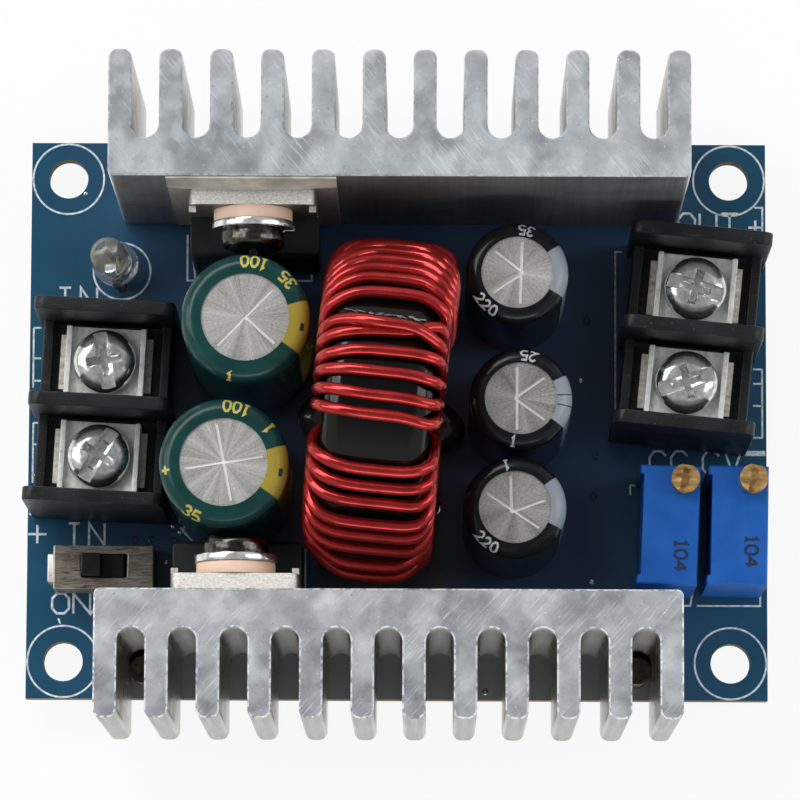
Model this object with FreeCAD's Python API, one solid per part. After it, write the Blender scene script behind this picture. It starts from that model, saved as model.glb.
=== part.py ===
import FreeCAD, Part
import math
import os

# Buck converter module, in millimetres.
# The origin is the centre of the four mounting holes on the board's underside.
# +X runs along the board, +Y towards the upper heat sink, +Z away from the board.

# Circuit board
board_length = 60.0
board_width = 45.6
board_thickness = 1.6
hole_margin = 3.0
mounting_hole_diameter = 3.2

# Leads and solder under the board
lead_reach = 2.2
lead_hole_clearance = 0.15
solder_height = 1.2
solder_pad_margin = 0.45
solder_tip_margin = 0.05
solder_sides = 12

# Heat sinks: a comb profile drawn along Z
sink_width = 45.4
sink_height = 22.9
sink_base = 3.0
fin_length = 7.0
fin_thickness = 1.8
fin_count = 12
fin_tip_radius = 0.7
sink_corner_radius = 0.5
upper_sink_x = 0.2
lower_sink_x = -0.5
sink_pin_shank_radius = 0.7
sink_pin_collar_height = 4.0
sink_pin_gap = 0.03
sink_pin_inset = 0.6

# Power packages against the heat sinks
pad_width = 13.3
pad_top_margin = 0.5
pad_thickness = 0.3
pad_bottom = 1.4
tab_width = 10.0
tab_thickness = 1.3
tab_height = 15.2
tab_corner_radius = 0.8
tab_hole_radius = 1.85
tab_hole_drop = 2.8
package_lift = 3.7
body_width = 10.2
body_clearance = 0.2
body_thickness = 3.2
body_bevel = 0.35
lead_depth = 2.4
lead_pitch = 2.54
lead_width = 0.8
lead_thickness = 0.5
lead_shoulder_width = 1.25
lead_embed = 1.5
upper_package_x = -11.35
lower_package_x = -12.5

# Screws, washers and bushes that hold the packages
bush_radius = 3.1
bush_thickness = 1.0
bush_sleeve_gap = 0.05
washer_radius = 3.25
washer_thickness = 0.6
washer_split = 0.5
screw_shank_radius = 1.45
screw_hole_gap = 0.1
screw_head_radius = 2.55
screw_head_height = 1.7
screw_head_crown = 0.9
screw_bite = 2.6
recess_arm = 1.5
recess_width = 0.6
recess_depth = 1.0

# Barrier terminals
way_pitch = 7.62
terminal_depth = 11.2
wall_thickness = 1.1
wall_height = 13.2
wall_corner_radius = 0.9
block_setback = 0.45
floor_height = 5.7
rim_width = 0.8
rim_height = 1.0
contact_length = 7.4
contact_width = 4.4
contact_thickness = 0.9
contact_pin_offset = 2.9
contact_pin_width = 1.0
contact_pin_thickness = 0.8
contact_pin_gap = 0.05
clamp_length = 6.4
clamp_width = 5.6
clamp_thickness = 0.8
clamp_lip_thickness = 0.45
clamp_lip_height = 0.7
clamp_lift = 2.1
clamp_seat_gap = 0.02
terminal_shank_radius = 1.75
terminal_shank_length = 6.0
thread_gap = 0.05
clamp_hole_gap = 0.1
terminal_head_radius = 2.55
terminal_head_height = 1.9
terminal_head_round = 0.5
terminal_slot_width = 1.15
terminal_slot_depth = 0.55
terminal_cross_width = 0.8
terminal_cross_arm = 1.75
terminal_cross_depth = 1.1
shank_well_gap = 0.35
input_terminal_y = -0.25
input_terminal_turn = -3.0
input_terminal_tuck = 0.45
output_terminal_gap = 4.37
output_terminal_y = 5.8
output_terminal_turn = -5.6
input_slot_angles = (100.0, 59.0)
output_slot_angles = (-17.0, 17.0)

# Inductor, standing on edge
core_outer_radius = 12.1
core_inner_radius = 7.1
core_width = 8.4
core_bevel = 0.9
wire_radius = 0.475
wire_slack = 0.15
wire_bend = 1.55
wire_sides = 8
coil_x = -1.3
coil_y = -0.6
coil_turn = -5.2
coil_lift = 0.1
crossing_skew = 1.3
adhesive_length = 13.6
adhesive_width = 6.4
adhesive_height = 3.6
adhesive_round = 1.3

# Turns of the winding: how many, and the angle from the top where each group starts and ends
far_side_turns = (6, 150.0, 86.0)
far_top_turns = (6, 75.5, 35.5)
paired_turns = (2, 23.5, 17.0)
near_top_turns = (4, 11.5, -8.5)
lower_top_turns = (6, -29.0, -67.0)
near_side_turns = (7, -78.0, -150.0)

# Capacitors
input_can_radius = 5.05
input_can_height = 20.2
input_can_opening = 3.45
input_can_lead_pitch = 5.0
upper_can_gap = 0.7
lower_can_gap = 1.25
can_between_gap = 1.3
can_middle_y = -0.3
can_package_gap = 0.25
output_can_radius = 4.05
output_can_height = 16.0
output_can_opening = 2.85
output_can_lead_pitch = 3.5
output_can_gap = 0.5
output_can_middle_y = -0.35
output_can_upper_gap = 1.9
output_can_lower_gap = 0.5
output_can_middle_shift = 0.3
output_can_lower_shift = -0.15
sleeve_thickness = 0.15
can_edge_radius = 0.9
can_groove_rise = 2.6
can_groove_radius = 0.6
can_groove_depth = 0.35
can_lead_radius = 0.3
bung_thickness = 1.6
bung_margin = 0.7
vent_width = 0.22
vent_depth = 0.12
vent_inset = 0.35
vent_fork_root = 0.49
vent_fork_spread = 42.0
vent_bar_spread = 97.0
upper_can_vent = (46.0, (-42.0,))
lower_can_vent = (9.0, (-79.0, 101.0))
output_can_vents = (178.0, 0.0, 56.0)

# Lamp
lamp_x = -22.56
lamp_y = 12.17
lamp_lean = 8.5
lamp_lean_direction = 158.0
lamp_flange_radius = 1.8
lamp_flange_height = 1.0
lamp_radius = 1.45
lamp_height = 5.2
lamp_lift = 2.6
lamp_lead_pitch = 2.54
lamp_lead_width = 0.5
lamp_lead_embed = 2.6
lamp_post_pitch = 1.0
lamp_lead_bend_rise = 0.5

# Slide switch
switch_x = -23.6
switch_y = -12.5
switch_length = 8.1
switch_width = 3.55
switch_height = 3.5
switch_sheet = 0.3
switch_window_rise = 0.15
switch_travel = 2.0
switch_stop_gap = 0.05
knob_length = 1.55
knob_width = 1.75
knob_rise = 1.3
knob_edge_gap = 0.08
carriage_length = 5.2
carriage_thickness = 0.9
carriage_gap = 0.1
switch_base_thickness = 0.9
switch_window_shift = 0.05
switch_contact_thickness = 0.2
switch_contact_width = 0.8
switch_pin_head = 0.15
switch_pin_width = 0.5
switch_pin_thickness = 0.3
switch_lug_width = 2.3
switch_lug_reach = 0.5
switch_lug_drop = 0.6

# Trimmers
trimmer_length = 9.53
trimmer_width = 4.78
trimmer_height = 10.0
trimmer_recess_depth = 0.3
trimmer_recess_end = 0.75
trimmer_edge_bevel = 0.15
trimmer_gap = 0.7
trimmer_edge_inset = 0.5
trimmer_y = -9.65
trimmer_turn_left = -2.2
trimmer_turn_right = -1.1
trimmer_screw_radius = 1.13
trimmer_screw_rise = 1.3
trimmer_neck_radius = 0.8
trimmer_neck_length = 2.5
trimmer_neck_gap = 0.05
trimmer_well_floor_gap = 0.2
trimmer_screw_offset_x = 1.15
trimmer_screw_offset_y = 3.65
trimmer_slot_width = 0.6
trimmer_slot_depth = 0.6
trimmer_slot_turn = 82.0
trimmer_pin_radius = 0.25
trimmer_pin_pitch = 2.54

# Chips on the underside of the board
control_chip_size = (9.9, 3.9, 1.4)
control_chip_place = (1.0, 2.0)
control_chip_lead_count = 8
amplifier_chip_size = (4.9, 3.9, 1.4)
amplifier_chip_gap = 6.0
amplifier_chip_y = -2.0
amplifier_chip_lead_count = 4
chip_standoff = 0.1
chip_lead_pitch = 1.27
chip_lead_width = 0.42
chip_lead_reach = 1.0
chip_lead_thickness = 0.22
shunt_size = (6.4, 3.2, 0.6)
shunt_places = ((3.5, 11.6), (3.5, 15.6))
small_capacitor_size = (2.0, 1.25, 0.9)
small_capacitor_places = ((-3.5, 8.3), (-1.0, 8.3), (1.5, 8.3), (-3.0, -3.2))
amplifier_capacitor_steps = ((-2.0, 7.6), (0.7, 7.6))
small_resistor_size = (1.6, 0.8, 0.45)
small_resistor_places = ((-0.5, -3.2), (2.0, -3.2), (-3.0, -5.2), (-0.5, -5.2))
amplifier_resistor_steps = ((-2.0, 5.6), (0.5, 5.6), (-2.0, 9.4), (0.5, 9.4))

UP = FreeCAD.Vector(0, 0, 1)
ALONG_Y = FreeCAD.Vector(0, 1, 0)
ORIGIN = FreeCAD.Vector(0, 0, 0)

# How far a cutting shape reaches past the piece it cuts, and how near an edge lies to a face it is on
cut_reach = 1.0
edge_margin = 0.01


def coil_lean(y):
    """How far the turned inductor moves along X at the height y of the plan."""
    return (y - coil_y) * math.tan(math.radians(-coil_turn))


# Worked-out places shared by several pieces
board_top = board_thickness
hole_x = board_length / 2 - hole_margin
hole_y = board_width / 2 - hole_margin
wire_outer = core_outer_radius + wire_slack + wire_radius
wire_inner = core_inner_radius - wire_slack - wire_radius
wire_side = core_width / 2 + wire_slack + wire_radius
wire_corner = wire_radius * math.sqrt(2 * math.pi / (wire_sides * math.sin(2 * math.pi / wire_sides)))
core_middle = board_top + coil_lift + wire_outer + wire_radius
coil_half_width = wire_side + wire_radius
package_depth = pad_thickness + tab_thickness + body_thickness
upper_can_y = can_middle_y + can_between_gap / 2 + input_can_radius
lower_can_y = can_middle_y - can_between_gap / 2 - input_can_radius
sink_face_y = package_depth + can_package_gap + input_can_radius - lower_can_y
upper_can_x = coil_x + coil_lean(upper_can_y) - coil_half_width - upper_can_gap - input_can_radius
lower_can_x = coil_x + coil_lean(lower_can_y) - coil_half_width - lower_can_gap - input_can_radius
input_terminal_x = lower_can_x - input_can_radius + input_terminal_tuck - terminal_depth / 2
output_can_step_up = 2 * output_can_radius + output_can_upper_gap
output_can_step_down = 2 * output_can_radius + output_can_lower_gap
output_can_upper_y = output_can_middle_y + output_can_step_up
output_can_lower_y = output_can_middle_y - output_can_step_down
output_can_x = coil_x + coil_lean(output_can_upper_y) + coil_half_width + output_can_gap + output_can_radius
output_terminal_x = output_can_x + output_can_radius + output_terminal_gap + terminal_depth / 2
fin_pitch = (sink_width - fin_thickness) / (fin_count - 1)
slot_width = fin_pitch - fin_thickness
slot_floor_y = sink_base + slot_width / 2
tab_bottom = board_top + package_lift
pad_height = package_lift + tab_height + pad_top_margin - pad_bottom
body_height = tab_height - tab_hole_drop - bush_radius - body_clearance
screw_height = tab_bottom + tab_height - tab_hole_drop
terminal_floor = board_top + floor_height
contact_top = terminal_floor + contact_thickness
clamp_bottom = contact_top + clamp_seat_gap
clamp_top = clamp_bottom + clamp_thickness
head_bottom = clamp_top + clamp_seat_gap
trimmer_right_x = board_length / 2 - trimmer_edge_inset - trimmer_width / 2
trimmer_left_x = trimmer_right_x - trimmer_width - trimmer_gap
amplifier_chip_x = output_can_x + amplifier_chip_gap

# Each lead that goes through the board: its place, the radius round it, and its solid
board_leads = []


def block(x, y, z, length, width, height):
    """A box centred on x and y that stands on z."""
    corner = FreeCAD.Vector(x - length / 2, y - width / 2, z)
    return Part.makeBox(length, width, height, corner)


def rod(x, y, z, radius, height):
    """An upright cylinder that stands on z."""
    return Part.makeCylinder(radius, height, FreeCAD.Vector(x, y, z), UP)


def joined(shapes):
    """One solid from shapes that touch or cross."""
    first = shapes[0]
    if len(shapes) == 1:
        return first
    return first.multiFuse(shapes[1:]).removeSplitter()


def without(shape, tools):
    """The shape with each tool's volume taken away."""
    return shape.cut(Part.makeCompound(tools))


def turned(shape, angle, x=0.0, y=0.0):
    """A copy turned about an upright axis through x and y."""
    copy = shape.copy()
    copy.rotate(FreeCAD.Vector(x, y, 0), UP, angle)
    return copy


def moved(shape, x, y, z=0.0):
    """A copy moved by x, y and z."""
    copy = shape.copy()
    copy.translate(FreeCAD.Vector(x, y, z))
    return copy


def edges_where(shape, test):
    """The edges whose middle point passes the test."""
    return [edge for edge in shape.Edges if test(edge.CenterOfMass)]


def add_lead(shape, x, y, radius):
    """Keeps a lead for the board's holes and the solder joints."""
    board_leads.append((x, y, radius, shape))
    return shape


def half_diagonal(width, thickness):
    """The radius of the circle round a rectangle."""
    return math.hypot(width, thickness) / 2


def upright_hole(x, y, bottom, height, radius):
    """A cutter for a hole right through a plate that stands on bottom."""
    return rod(x, y, bottom - cut_reach, radius, height + 2 * cut_reach)


def screw_hole(radius, thickness):
    """A cutter on a package screw's axis, through a plate whose back lies on y = 0."""
    mouth = FreeCAD.Vector(0, -thickness - cut_reach, screw_height)
    return Part.makeCylinder(radius, thickness + 2 * cut_reach, mouth, ALONG_Y)


def make_board():
    """The board with its mounting holes and a hole round every lead."""
    board = block(0, 0, 0, board_length, board_width, board_thickness)
    holes = []
    for side_x in (-1, 1):
        for side_y in (-1, 1):
            x = side_x * hole_x
            y = side_y * hole_y
            holes.append(upright_hole(x, y, 0, board_thickness, mounting_hole_diameter / 2))
    for x, y, radius, _ in board_leads:
        holes.append(upright_hole(x, y, 0, board_thickness, radius + lead_hole_clearance))
    return without(board, holes)


def make_solder():
    """A many-sided cone of solder under the board round every lead."""
    joints = []
    for x, y, radius, lead in board_leads:
        wide = radius + lead_hole_clearance + solder_pad_margin
        foot = level_ring(x, y, 0, wide, solder_sides)
        tip = level_ring(x, y, -solder_height, radius + solder_tip_margin, solder_sides)
        joints.append(solid_between([foot, tip]).cut(lead))
    return Part.makeCompound(joints)


def level_ring(x, y, z, radius, sides):
    """The corners of a level polygon."""
    steps = [polar(radius, 360 * index / sides) for index in range(sides)]
    return [FreeCAD.Vector(x + step_x, y + step_y, z) for step_x, step_y in steps]


def polygon(points):
    """A flat face with these corners."""
    return Part.Face(Part.makePolygon(points + points[:1]))


def solid_between(rings):
    """A solid whose skin joins each ring of points to the next, closed at both ends."""
    faces = [polygon(rings[0]), polygon(rings[-1])]
    for near, far in zip(rings, rings[1:]):
        for index in range(len(near)):
            faces.append(polygon([near[index - 1], near[index], far[index], far[index - 1]]))
    shell = Part.makeShell(faces)
    shell.sewShape()
    solid = Part.Solid(shell)
    if solid.Volume < 0:
        solid.reverse()
    return solid


def line(start, end):
    return Part.LineSegment(start, end).toShape()


def bow(start, middle, end):
    return Part.Arc(start, middle, end).toShape()


def flat(x, y):
    return FreeCAD.Vector(x, y, 0)


def sink_profile():
    """The comb outline, its inner face on y = 0 and its fins towards +Y."""
    half = sink_width / 2
    depth = sink_base + fin_length
    tip = fin_tip_radius
    bend = tip * (1 - math.sqrt(0.5))
    corner = sink_corner_radius
    cut = corner * (1 - math.sqrt(0.5))
    edges = [bow(flat(-half + corner, 0), flat(-half + cut, cut), flat(-half, corner))]
    here = flat(-half, corner)
    for index in range(fin_count):
        left = -half + index * fin_pitch
        right = left + fin_thickness
        edges.append(line(here, flat(left, depth - tip)))
        rounding = (flat(left, depth - tip), flat(left + bend, depth - bend), flat(left + tip, depth))
        edges.append(bow(*rounding))
        edges.append(line(flat(left + tip, depth), flat(right - tip, depth)))
        rounding = (flat(right - tip, depth), flat(right - bend, depth - bend), flat(right, depth - tip))
        edges.append(bow(*rounding))
        if index < fin_count - 1:
            far = left + fin_pitch
            here = flat(far, slot_floor_y)
            edges.append(line(flat(right, depth - tip), flat(right, slot_floor_y)))
            edges.append(bow(flat(right, slot_floor_y), flat((right + far) / 2, sink_base), here))
    edges.append(line(flat(half, depth - tip), flat(half, corner)))
    edges.append(bow(flat(half, corner), flat(half - cut, cut), flat(half - corner, 0)))
    edges.append(line(flat(half - corner, 0), flat(-half + corner, 0)))
    return Part.Face(Part.Wire(edges))


def make_sink(screw_x):
    """One heat sink, its inner face on y = 0, with the screw's blind hole at screw_x."""
    body = sink_profile().extrude(UP * sink_height)
    body.translate(FreeCAD.Vector(0, 0, board_top))
    mouth = FreeCAD.Vector(screw_x, -cut_reach, screw_height)
    depth = cut_reach + screw_bite + screw_hole_gap
    return body.cut(Part.makeCylinder(screw_shank_radius + thread_gap, depth, mouth, ALONG_Y))


def make_sink_pins():
    """Two solder pins for one sink, each with its collar in an outer slot."""
    pins = []
    y = slot_floor_y + sink_pin_inset
    for side in (-1, 1):
        x = side * (sink_width / 2 - fin_thickness - slot_width / 2)
        collar = rod(x, y, board_top, slot_width / 2 - sink_pin_gap, sink_pin_collar_height)
        shank = rod(x, y, -lead_reach, sink_pin_shank_radius, lead_reach + board_top)
        pins.append(collar.fuse(shank).removeSplitter())
    return pins


def make_package():
    """A power package at x = 0 whose tab's back lies on y = 0, facing -Y."""
    plate = block(0, -tab_thickness / 2, tab_bottom, tab_width, tab_thickness, tab_height)
    top = tab_bottom + tab_height - edge_margin
    side = tab_width / 2 - edge_margin
    corners = edges_where(plate, lambda p: p.z > top and abs(p.x) > side)
    plate = plate.makeFillet(tab_corner_radius, corners).cut(screw_hole(tab_hole_radius, tab_thickness))
    leads = [make_flat_lead(step * lead_pitch) for step in (-1, 0, 1)]
    link_y = -(tab_thickness + lead_depth) / 2
    link_length = lead_depth - tab_thickness + lead_thickness
    link = block(0, link_y, tab_bottom + lead_embed, lead_width, link_length, lead_width)
    tab = joined([plate, leads[1], link])
    side_leads = [leads[0], leads[2]]
    body = block(0, -tab_thickness - body_thickness / 2, tab_bottom, body_width, body_thickness, body_height)
    front = -tab_thickness - body_thickness
    body = body.makeChamfer(body_bevel, edges_where(body, lambda p: p.y < front + edge_margin))
    body = without(body, [tab] + side_leads)
    return body, tab, side_leads


def make_flat_lead(x):
    """A flat lead with its wide shoulder standing on the board."""
    y = -lead_depth
    top = tab_bottom + lead_embed + lead_width
    shoulder = block(x, y, board_top, lead_shoulder_width, lead_thickness, tab_bottom - board_top)
    neck = block(x, y, tab_bottom, lead_width, lead_thickness, top - tab_bottom)
    tail = block(x, y, -lead_reach, lead_width, lead_thickness, lead_reach + board_top)
    return joined([tail, shoulder, neck])


def make_pad():
    """The soft sheet between package and sink, its back on y = 0."""
    sheet = block(0, -pad_thickness / 2, board_top + pad_bottom, pad_width, pad_thickness, pad_height)
    return sheet.cut(screw_hole(tab_hole_radius, pad_thickness))


def disc(radius, start, length):
    """A cylinder on the screw's axis that starts at depth start and runs away from the sink."""
    return Part.makeCylinder(radius, length, FreeCAD.Vector(0, -start, screw_height), -ALONG_Y)


def make_fastening():
    """The bush, split washer and screw of one package, the sink's face on y = 0."""
    tab_front = pad_thickness + tab_thickness
    bush_front = tab_front + bush_thickness
    washer_front = bush_front + washer_thickness
    bore = screw_shank_radius + screw_hole_gap
    sleeve = disc(tab_hole_radius - bush_sleeve_gap, pad_thickness, tab_thickness)
    bush = disc(bush_radius, tab_front, bush_thickness).fuse(sleeve).cut(disc(bore, 0, bush_front))
    washer = disc(washer_radius, bush_front, washer_thickness).cut(disc(bore, 0, washer_front))
    slit = block(washer_radius, -bush_front - washer_thickness / 2, screw_height - washer_split / 2,
                 2 * washer_radius, 2 * washer_thickness, washer_split)
    washer = washer.cut(slit)
    head = disc(screw_head_radius, washer_front, screw_head_height)
    front = -washer_front - screw_head_height
    head = head.makeFillet(screw_head_crown, edges_where(head, lambda p: p.y < front + edge_margin))
    shank = disc(screw_shank_radius, -screw_bite, screw_bite + washer_front)
    recess = []
    for length, height in ((recess_width, 2 * recess_arm), (2 * recess_arm, recess_width)):
        recess.append(block(0, front, screw_height - height / 2, length, 2 * recess_depth, height))
    screw = without(joined([head, shank]), recess)
    return bush.removeSplitter(), washer, screw


def make_housing():
    """A terminal housing about its own centre: floor block, rims and three walls."""
    half_depth = terminal_depth / 2 - block_setback
    row = 2 * way_pitch
    base = block(0, 0, board_top, 2 * half_depth, row, floor_height)
    parts = [base]
    for side in (-1, 1):
        rim_x = side * (half_depth - rim_width / 2)
        parts.append(block(rim_x, 0, terminal_floor, rim_width, row, rim_height))
    for place in (-1, 0, 1):
        wall = block(0, place * way_pitch, board_top, terminal_depth, wall_thickness, wall_height)
        top = board_top + wall_height - edge_margin
        end = terminal_depth / 2 - edge_margin
        ends = edges_where(wall, lambda p: p.z > top and abs(p.x) > end)
        parts.append(wall.makeFillet(wall_corner_radius, ends))
    return joined(parts)


def make_terminal(x, y, angle, pin_side, slot_angles):
    """A whole terminal: the housing, two contacts, two clamps and two screws, in place."""
    housing = make_housing()
    contacts = []
    clamps = []
    screws = []
    for place, slot_angle in zip((1, -1), slot_angles):
        v = place * way_pitch / 2
        contact = make_contact(v, pin_side)
        well = rod(0, v, head_bottom - terminal_shank_length - shank_well_gap,
                   terminal_shank_radius + shank_well_gap, terminal_shank_length)
        gap = 2 * contact_pin_gap
        channel = block(pin_side * contact_pin_offset, v, board_top - cut_reach, contact_pin_thickness + gap,
                        contact_pin_width + gap, floor_height + cut_reach)
        housing = without(housing, [well, channel])
        contacts.append(moved(turned(contact, angle), x, y))
        clamps.append(moved(turned(make_clamp(v), angle), x, y))
        screws.append(moved(turned(make_terminal_screw(v, slot_angle - angle), angle), x, y))
        pin = FreeCAD.Rotation(UP, angle).multVec(FreeCAD.Vector(pin_side * contact_pin_offset, v, 0))
        reach = half_diagonal(contact_pin_width, contact_pin_thickness)
        add_lead(contacts[-1], x + pin.x, y + pin.y, reach)
    return moved(turned(housing, angle), x, y), contacts, clamps, screws


def make_contact(v, pin_side):
    """The contact plate of one way with its tapped hole and its board pin."""
    plate = block(0, v, terminal_floor, contact_length, contact_width, contact_thickness)
    pin = block(pin_side * contact_pin_offset, v, -lead_reach, contact_pin_thickness, contact_pin_width,
                lead_reach + terminal_floor)
    tapped = upright_hole(0, v, terminal_floor, contact_thickness, terminal_shank_radius + thread_gap)
    return joined([plate, pin]).cut(tapped)


def make_clamp(v):
    """The square clamp plate of one way with its turned-up lips."""
    plate = block(0, v, clamp_bottom, clamp_length, clamp_width, clamp_thickness)
    lips = []
    for side in (-1, 1):
        lip_x = side * (clamp_length - clamp_lip_thickness) / 2
        lips.append(block(lip_x, v, clamp_top, clamp_lip_thickness, clamp_width, clamp_lip_height))
    hole = upright_hole(0, v, clamp_bottom, clamp_thickness, terminal_shank_radius + clamp_hole_gap)
    return joined([plate] + lips).cut(hole)


def make_terminal_screw(v, slot_angle):
    """One terminal screw: round head with a slot across it and a cross recess."""
    head = rod(0, v, head_bottom, terminal_head_radius, terminal_head_height)
    top = head_bottom + terminal_head_height
    head = head.makeFillet(terminal_head_round, edges_where(head, lambda p: p.z > top - edge_margin))
    shank = rod(0, v, head_bottom - terminal_shank_length, terminal_shank_radius, terminal_shank_length)
    slot_length = 2 * (terminal_head_radius + cut_reach)
    arm = 2 * terminal_cross_arm
    cuts = [block(0, v, top - terminal_slot_depth, slot_length, terminal_slot_width, terminal_head_height)]
    for length, width in ((arm, terminal_cross_width), (terminal_cross_width, arm)):
        cuts.append(block(0, v, top - terminal_cross_depth, length, width, terminal_head_height))
    screw = without(joined([head, shank]), cuts)
    return turned(screw, slot_angle, 0, v)


def turn_angles():
    """The angle of every turn of the winding, from the far side over the top to the near side."""
    angles = []
    groups = (far_side_turns, far_top_turns, paired_turns, near_top_turns, lower_top_turns, near_side_turns)
    for count, first, last in groups:
        step = (last - first) / (count - 1)
        angles += [first + step * index for index in range(count)]
    return angles


def ring_point(side, radius, angle):
    """A point of the winding at an angle from the top of the ring."""
    a = math.radians(angle)
    return FreeCAD.Vector(side, radius * math.sin(a), core_middle + radius * math.cos(a))


def winding_route():
    """The corners of the wire: up from the board, round the core turn by turn, and down again."""
    outer = turn_angles()
    count = len(outer)
    inner_step = (outer[-1] - outer[0]) / (count - 1)
    first = ring_point(-wire_side, wire_outer, outer[0] + crossing_skew)
    last = ring_point(wire_side, wire_outer, outer[-1] - crossing_skew)
    route = [FreeCAD.Vector(first.x, first.y, -lead_reach)]
    for index, angle in enumerate(outer):
        route.append(ring_point(-wire_side, wire_outer, angle + crossing_skew))
        route.append(ring_point(wire_side, wire_outer, angle - crossing_skew))
        if index < count - 1:
            inner = outer[0] + inner_step * index
            route.append(ring_point(wire_side, wire_inner, inner))
            route.append(ring_point(-wire_side, wire_inner, inner + inner_step))
    route.append(FreeCAD.Vector(last.x, last.y, -lead_reach))
    return route


def rounded_route(points, radius):
    """The same route with each corner cut to three points of the arc that touches both its runs."""
    route = [points[0]]
    for before, corner, after in zip(points, points[1:], points[2:]):
        back = (before - corner).normalize()
        ahead = (after - corner).normalize()
        half_turn = (math.pi - back.getAngle(ahead)) / 2
        trim = radius * math.tan(half_turn)
        inward = (back + ahead).normalize()
        route.append(corner + back * trim)
        route.append(corner + inward * (radius / math.cos(half_turn) - radius))
        route.append(corner + ahead * trim)
    route.append(points[-1])
    return route


def bar_along(route, radius, sides):
    """A many-sided bar along straight runs, mitred where they meet."""
    runs = [(after - before).normalize() for before, after in zip(route, route[1:])]
    side_way = runs[0].cross(FreeCAD.Vector(1, 0, 0)).normalize()
    other_way = runs[0].cross(side_way)
    turns = [2 * math.pi * index / sides for index in range(sides)]
    first = [side_way * math.cos(turn) + other_way * math.sin(turn) for turn in turns]
    rings = [[route[0] + way * radius for way in first]]
    for run, ahead, corner in zip(runs, runs[1:] + runs[-1:], route[1:]):
        mitre = run + ahead
        runs_left = [(corner - point).dot(mitre) / run.dot(mitre) for point in rings[-1]]
        rings.append([point + run * length for point, length in zip(rings[-1], runs_left)])
    return solid_between(rings)


def make_winding():
    """The enamelled wire, one bar with the round wire's section area, and its ends through the board."""
    route = winding_route()
    tube = bar_along(rounded_route(route, wire_bend), wire_corner, wire_sides)
    placed = moved(turned(tube, coil_turn), coil_x, coil_y)
    for end in (route[0], route[-1]):
        spot = FreeCAD.Rotation(UP, coil_turn).multVec(end) + FreeCAD.Vector(coil_x, coil_y, 0)
        end_rod = rod(spot.x, spot.y, -lead_reach, wire_corner, lead_reach + board_top)
        add_lead(end_rod, spot.x, spot.y, wire_corner)
    return placed


def make_core():
    """The ring core, standing on edge, with bevelled rims."""
    half = core_width / 2
    inner = core_inner_radius
    outer = core_outer_radius
    bevel = core_bevel
    upper = [(-half, outer - bevel), (-half + bevel, outer), (half - bevel, outer), (half, outer - bevel)]
    lower = [(half, inner + bevel), (half - bevel, inner), (-half + bevel, inner), (-half, inner + bevel)]
    outline = polygon([FreeCAD.Vector(side, 0, radius) for side, radius in upper + lower])
    ring = outline.revolve(ORIGIN, FreeCAD.Vector(1, 0, 0), 360)
    return moved(turned(moved(ring, 0, 0, core_middle), coil_turn), coil_x, coil_y)


def make_adhesive(core):
    """The flattened dab under the core, shaped to it."""
    oval = Part.Ellipse(ORIGIN, adhesive_length / 2, adhesive_width / 2).toShape()
    dab = Part.Face(Part.Wire(oval)).extrude(UP * adhesive_height)
    rim = edges_where(dab, lambda p: p.z > adhesive_height - edge_margin)
    dab = dab.makeFillet(adhesive_round, rim)
    return moved(turned(dab, coil_turn), coil_x, coil_y, board_top).cut(core)


def make_capacitor(x, y, radius, height, opening, lead_pitch_here, vent_lines):
    """One capacitor: can, shrink sleeve, bung and its two leads."""
    can_radius = radius - sleeve_thickness
    bottom = board_top + sleeve_thickness
    top = board_top + height - sleeve_thickness
    can = rod(x, y, bottom, can_radius, top - bottom)
    can = can.makeFillet(can_edge_radius, edges_where(can, lambda p: p.z > top - edge_margin))
    sleeve = rod(x, y, board_top, radius, height)
    sleeve_rim = edges_where(sleeve, lambda p: p.z > top + sleeve_thickness - edge_margin)
    sleeve = sleeve.makeFillet(can_edge_radius + sleeve_thickness, sleeve_rim)
    sleeve = without(sleeve, [can, upright_hole(x, y, board_top, height, opening)])
    groove = Part.makeTorus(can_radius + can_groove_radius - can_groove_depth, can_groove_radius,
                            FreeCAD.Vector(x, y, bottom + can_groove_rise), UP)
    bung_radius = can_radius - bung_margin
    bung_space = rod(x, y, bottom, bung_radius, bung_thickness)
    scores = [moved(score_line(top, *ends), x, y) for ends in vent_lines]
    can = without(can, [groove, bung_space] + scores)
    bung = bung_space
    leads = []
    for side in (-1, 1):
        lead_x = x + side * lead_pitch_here / 2
        lead = rod(lead_x, y, -lead_reach, can_lead_radius, lead_reach + bottom + bung_thickness)
        leads.append(add_lead(lead, lead_x, y, can_lead_radius))
    bung = without(bung, leads)
    return can, sleeve, bung, leads


def score_line(top, start, end):
    """A shallow groove in a can's top, from one point to another."""
    run = math.hypot(end[0] - start[0], end[1] - start[1])
    angle = math.degrees(math.atan2(end[1] - start[1], end[0] - start[0]))
    groove = block(run / 2, 0, top - vent_depth, run, vent_width, 2 * vent_depth)
    return moved(turned(groove, angle), start[0], start[1])


def polar(radius, angle):
    return (radius * math.cos(math.radians(angle)), radius * math.sin(math.radians(angle)))


def cross_vent(opening, first, seconds):
    """One score right across, and half scores from the middle."""
    reach = opening - vent_inset
    lines = [(polar(reach, first), polar(reach, first + 180))]
    for angle in seconds:
        lines.append(((0.0, 0.0), polar(reach, angle)))
    return lines


def fork_vent(opening, angle):
    """A score along one side of the middle, and two that fork from it."""
    reach = opening - vent_inset
    root = polar(vent_fork_root, angle + 180)
    lines = [(root, polar(reach, angle + side * vent_fork_spread)) for side in (-1, 1)]
    lines.append((polar(reach, angle + vent_bar_spread), polar(reach, angle - vent_bar_spread)))
    return lines


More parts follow.
